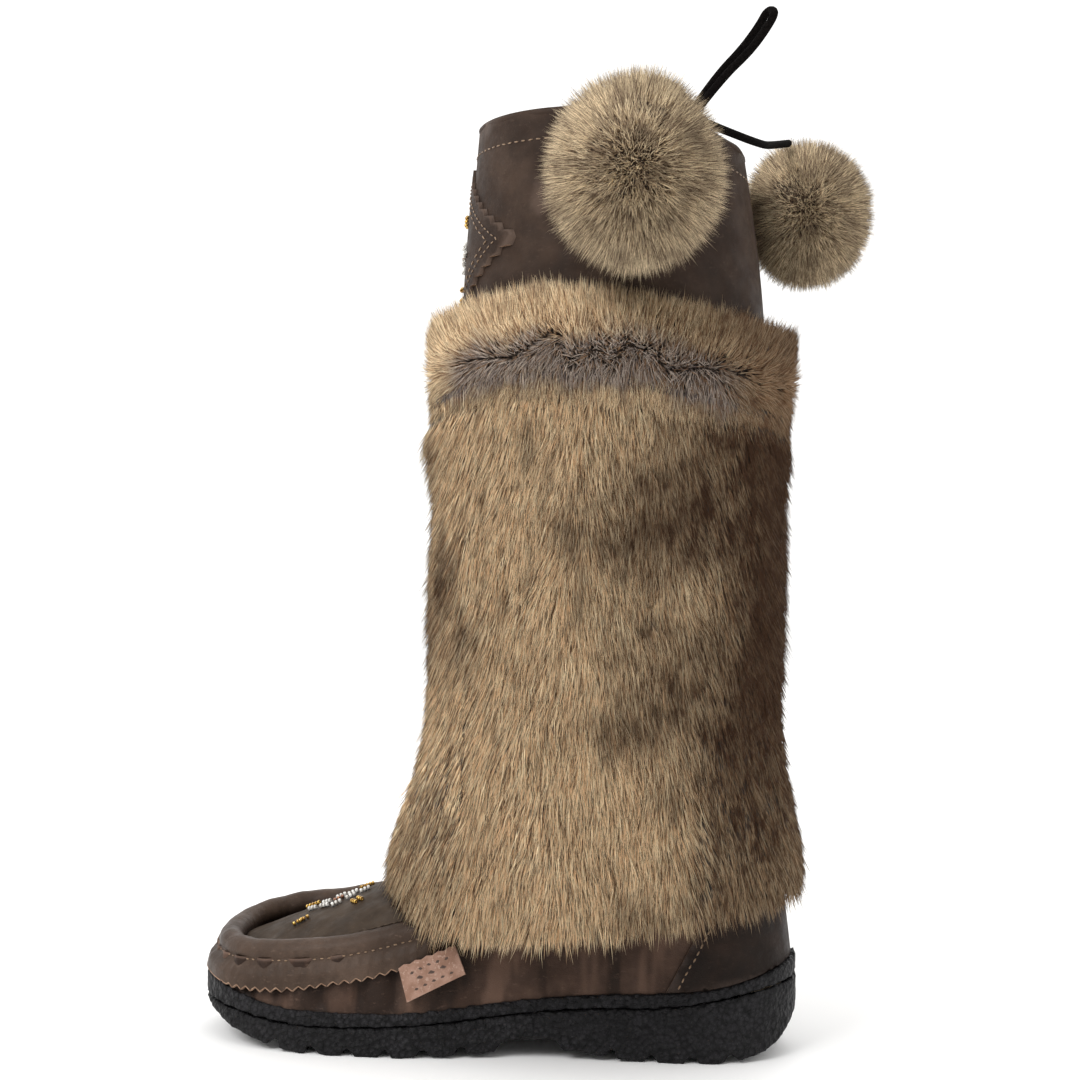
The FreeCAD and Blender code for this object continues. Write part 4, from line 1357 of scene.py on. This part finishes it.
def fold_dusk(tree, place, spot):
    fleck = ease(tree, noise(tree, place, 120.0, 4.0), 0.5, 0.72, 0.0, 0.5)
    back = ease(tree, spot.outputs["X"], 0.06, 0.125, 0.0, 0.75)
    return sums(tree, 'ADD', fleck, back)


FOLD_TAN = (0.70, 0.48, 0.285)
FOLD_DEEP = (0.20, 0.11, 0.06)
fold_coat = coat_finish("parted fold hair", FOLD_TAN, FOLD_DEEP, fold_dusk, fold_blue, 0.72)
base = wool("fur_top_fold", "fur_fold_skin", FOLD_SINK)
wear(base, underwool_gap_shade_finish, "fur", "boot", "fur_top_fold")
FOLD_HAIRS = 34000


def fold_wanted(middle, way):
    keep = outward(middle, way)
    return np.maximum(keep, np.where(way[:, 2] > 0.3, 0.9, 0.0))


for part in range(2):
    seed = 200 + part
    draw = np.random.default_rng(seed)
    roots, way = roots_on("fur_top_fold", FOLD_HAIRS, seed, fold_wanted)
    top = np.interp(roots[:, 0], fold_bins, fold_tops)
    rise = 1 - (top - roots[:, 2]) / FOLD_TALL
    rise += 0.15 * rolling(roots, 0.042, 41, 3)
    turn_up = np.clip((rise - PART_AT) / PART_SOFT, -1, 1)
    clump = rolling(roots, 0.007, 43, 2)
    upright = np.array((0.0, 0.0, 1.0))
    flat = np.cross(way, upright)
    flat /= np.maximum(np.linalg.norm(flat, axis=1), 0.25)[:, None]
    sway = 0.22 * rolling(roots, 0.03, 42, 2) + 0.18 * clump + draw.normal(0, 0.18, FOLD_HAIRS)
    lie_way = way * 0.46 + upright * (turn_up * 0.78)[:, None] + flat * sway[:, None]
    lie_way[:, 2] -= 0.12 * (turn_up < 0)
    long = FOLD_HAIR_LONG * (1 + 0.14 * clump + draw.normal(0, 0.15, FOLD_HAIRS))
    long *= 0.62 + 0.38 * np.clip(np.abs(rise - PART_AT) / 0.25, 0, 1)
    wide = draw.uniform(0.00047, 0.00088, FOLD_HAIRS)
    hair_piece("fur_fold_coat_%d" % (part + 1), roots - way * FOLD_ROOT_SINK, lie_way, long, wide, fold_coat,
               "fur", "boot", seed)

# ---------------------------------------------------------------------------
# Drawcord, knot, loop and tails: one black suede lace run through the hem,
# knotted at the back outer rim, with a stiff loop standing and two tails.
# ---------------------------------------------------------------------------
LACE = 0.0036
lace_finish, tree, shader, place = start_finish("black suede lace", Roughness=1.0, Specular_IOR_Level=0.06)
tree.links.new(dye(tree, ease(tree, noise(tree, place, 900.0, 4.0), 0.35, 0.7), (0.0022, 0.0016, 0.0015),
                   (0.0065, 0.0050, 0.0046)), shader.inputs["Base Color"])
relief(tree, shader, noise(tree, place, 1600.0, 4.0), 0.0004, 1.0)
dress("lace_drawcord", lace_finish)


def lace(name, route, node, body):
    made = bent_tube(name, route, LACE / 2, 3, 12, 4)
    made.data.materials.append(lace_finish)
    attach(made, body)
    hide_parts(node)
    return made


LOOP_SIDE = Vector((0.00175, -0.00395, -0.00145))
LOOP_SPINE = ((0.0826, -0.0494, 0.4200), (0.0920, -0.0450, 0.4342), (0.1030, -0.0425, 0.4460),
              (0.1104, -0.0420, 0.4566), (0.1140, -0.0424, 0.4636))
LOOP_SPREAD = (0.5, 0.75, 1.0, 1.0, 1.0)
strand_a = [Vector(p) + LOOP_SIDE * k for p, k in zip(LOOP_SPINE, LOOP_SPREAD)]
strand_b = [Vector(p) - LOOP_SIDE * k for p, k in zip(LOOP_SPINE, LOOP_SPREAD)]
loop_route = strand_a + strand_b[::-1]
NEAR_ROUTE = ((0.0793, -0.0564, 0.4156), (0.0776, -0.0655, 0.4188), (0.0729, -0.0760, 0.4224),
              (0.0656, -0.0848, 0.4226))
FAR_ROUTE = ((0.0861, -0.0506, 0.4126), (0.1005, -0.0410, 0.4090), (0.1110, -0.0220, 0.4095),
             (0.1158, 0.0020, 0.4140), (0.1254, 0.0290, 0.4210))
loop_lace = lace("lace_loop_strand", loop_route, "lace_loop", "loop")
near_lace = lace("near_tail_lace", NEAR_ROUTE, "near_tail", "near_tail")
far_lace = lace("far_tail_lace", FAR_ROUTE, "far_tail", "far_tail")

knot_low, knot_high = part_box("lace_knot")
knot_mid = (knot_low + knot_high) / 2
KNOT_SIZE = 0.00125
knot_route = []
for k in range(36):
    a = 2 * math.pi * k / 36
    x = math.sin(a) + 2 * math.sin(2 * a)
    y = math.cos(a) - 2 * math.cos(2 * a)
    knot_route.append(knot_mid + Vector((x, y, -1.6 * math.sin(3 * a))) * KNOT_SIZE)
lace_knot = bent_tube("lace_knot_tied", knot_route, LACE * 0.46, 4, 4, 3, True)
only(lace_knot)
bpy.ops.object.convert(target='MESH')
wear(lace_knot, lace_finish, "lace_suede", "boot", "lace_knot")

# ---------------------------------------------------------------------------
# Pompoms: strips of fur gathered tight on the lace's end and clipped round.
# The hair stands out all over and parts at the tie, where its dark roots show.
# ---------------------------------------------------------------------------


def pom_dusk(tree, place, spot):
    fleck = ease(tree, noise(tree, place, 90.0, 4.0, 0.65), 0.42, 0.70, 0.0, 0.75)
    return sums(tree, 'MINIMUM', fleck, 1.0)


POM_TAN = (0.42, 0.31, 0.20)
POM_DEEP = (0.13, 0.085, 0.055)
pom_coat = coat_finish("pompom hair", POM_TAN, POM_DEEP, pom_dusk, None, 0.80)


def pompom(node, name, body, hairs, parts, tie, seed):
    low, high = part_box(node)
    middle = np.array((low + high) / 2)
    size = np.array((high - low) / 2)
    core = from_cad(node, name + "_core")
    remesh(core, 0.0018, 2)
    co = spots(core)
    co = middle + (co - middle) * (0.80 + 0.035 * rolling(co, 0.012, seed, 3))[:, None]
    move_to(core, co)
    # the pompom's core uses the same dark underwool colour, partly painted shade between the hairs
    wear(core, underwool_gap_shade_finish, "pompom_fur", body, node)
    tie = np.array(tie) / np.linalg.norm(tie)
    for part in range(parts):
        draw = np.random.default_rng(seed + part)
        way = draw.normal(size=(hairs, 3))
        way /= np.linalg.norm(way, axis=1)[:, None]
        near_tie = np.clip(1 - np.arccos(np.clip(way @ tie, -1, 1)) / 0.42, 0, 1)
        clump = rolling(way * size, 0.010, seed + 5, 2)
        broad = rolling(way * size, 0.035, seed + 6, 2)
        roots = middle + way * size * 0.62
        lean = draw.normal(0, 0.20, (hairs, 3)) + (clump * 0.14)[:, None] * np.roll(way, 1, axis=1)
        lean -= tie * (near_tie * 0.55)[:, None]
        lie_way = way + lean
        lie_way[:, 2] -= 0.16
        reach = (size * np.abs(way)).sum(axis=1) / np.abs(way).sum(axis=1)
        long = reach * (0.42 + 0.035 * clump + 0.03 * broad + draw.normal(0, 0.045, hairs) - 0.13 * near_tie)
        wide = draw.uniform(0.00045, 0.00085, hairs)
        hair_piece(name + "_hair_%d" % (part + 1), roots, lie_way, long, wide, pom_coat, "pompom_fur", body,
                   seed + part)


pompom("pompom_near", "near_pompom", "near_pompom", 38000, 1, (8.4, -21.0, 20.0), 301)
pompom("pompom_far", "far_pompom", "far_pompom", 30000, 1, (-12.6, -26.0, 8.0), 321)
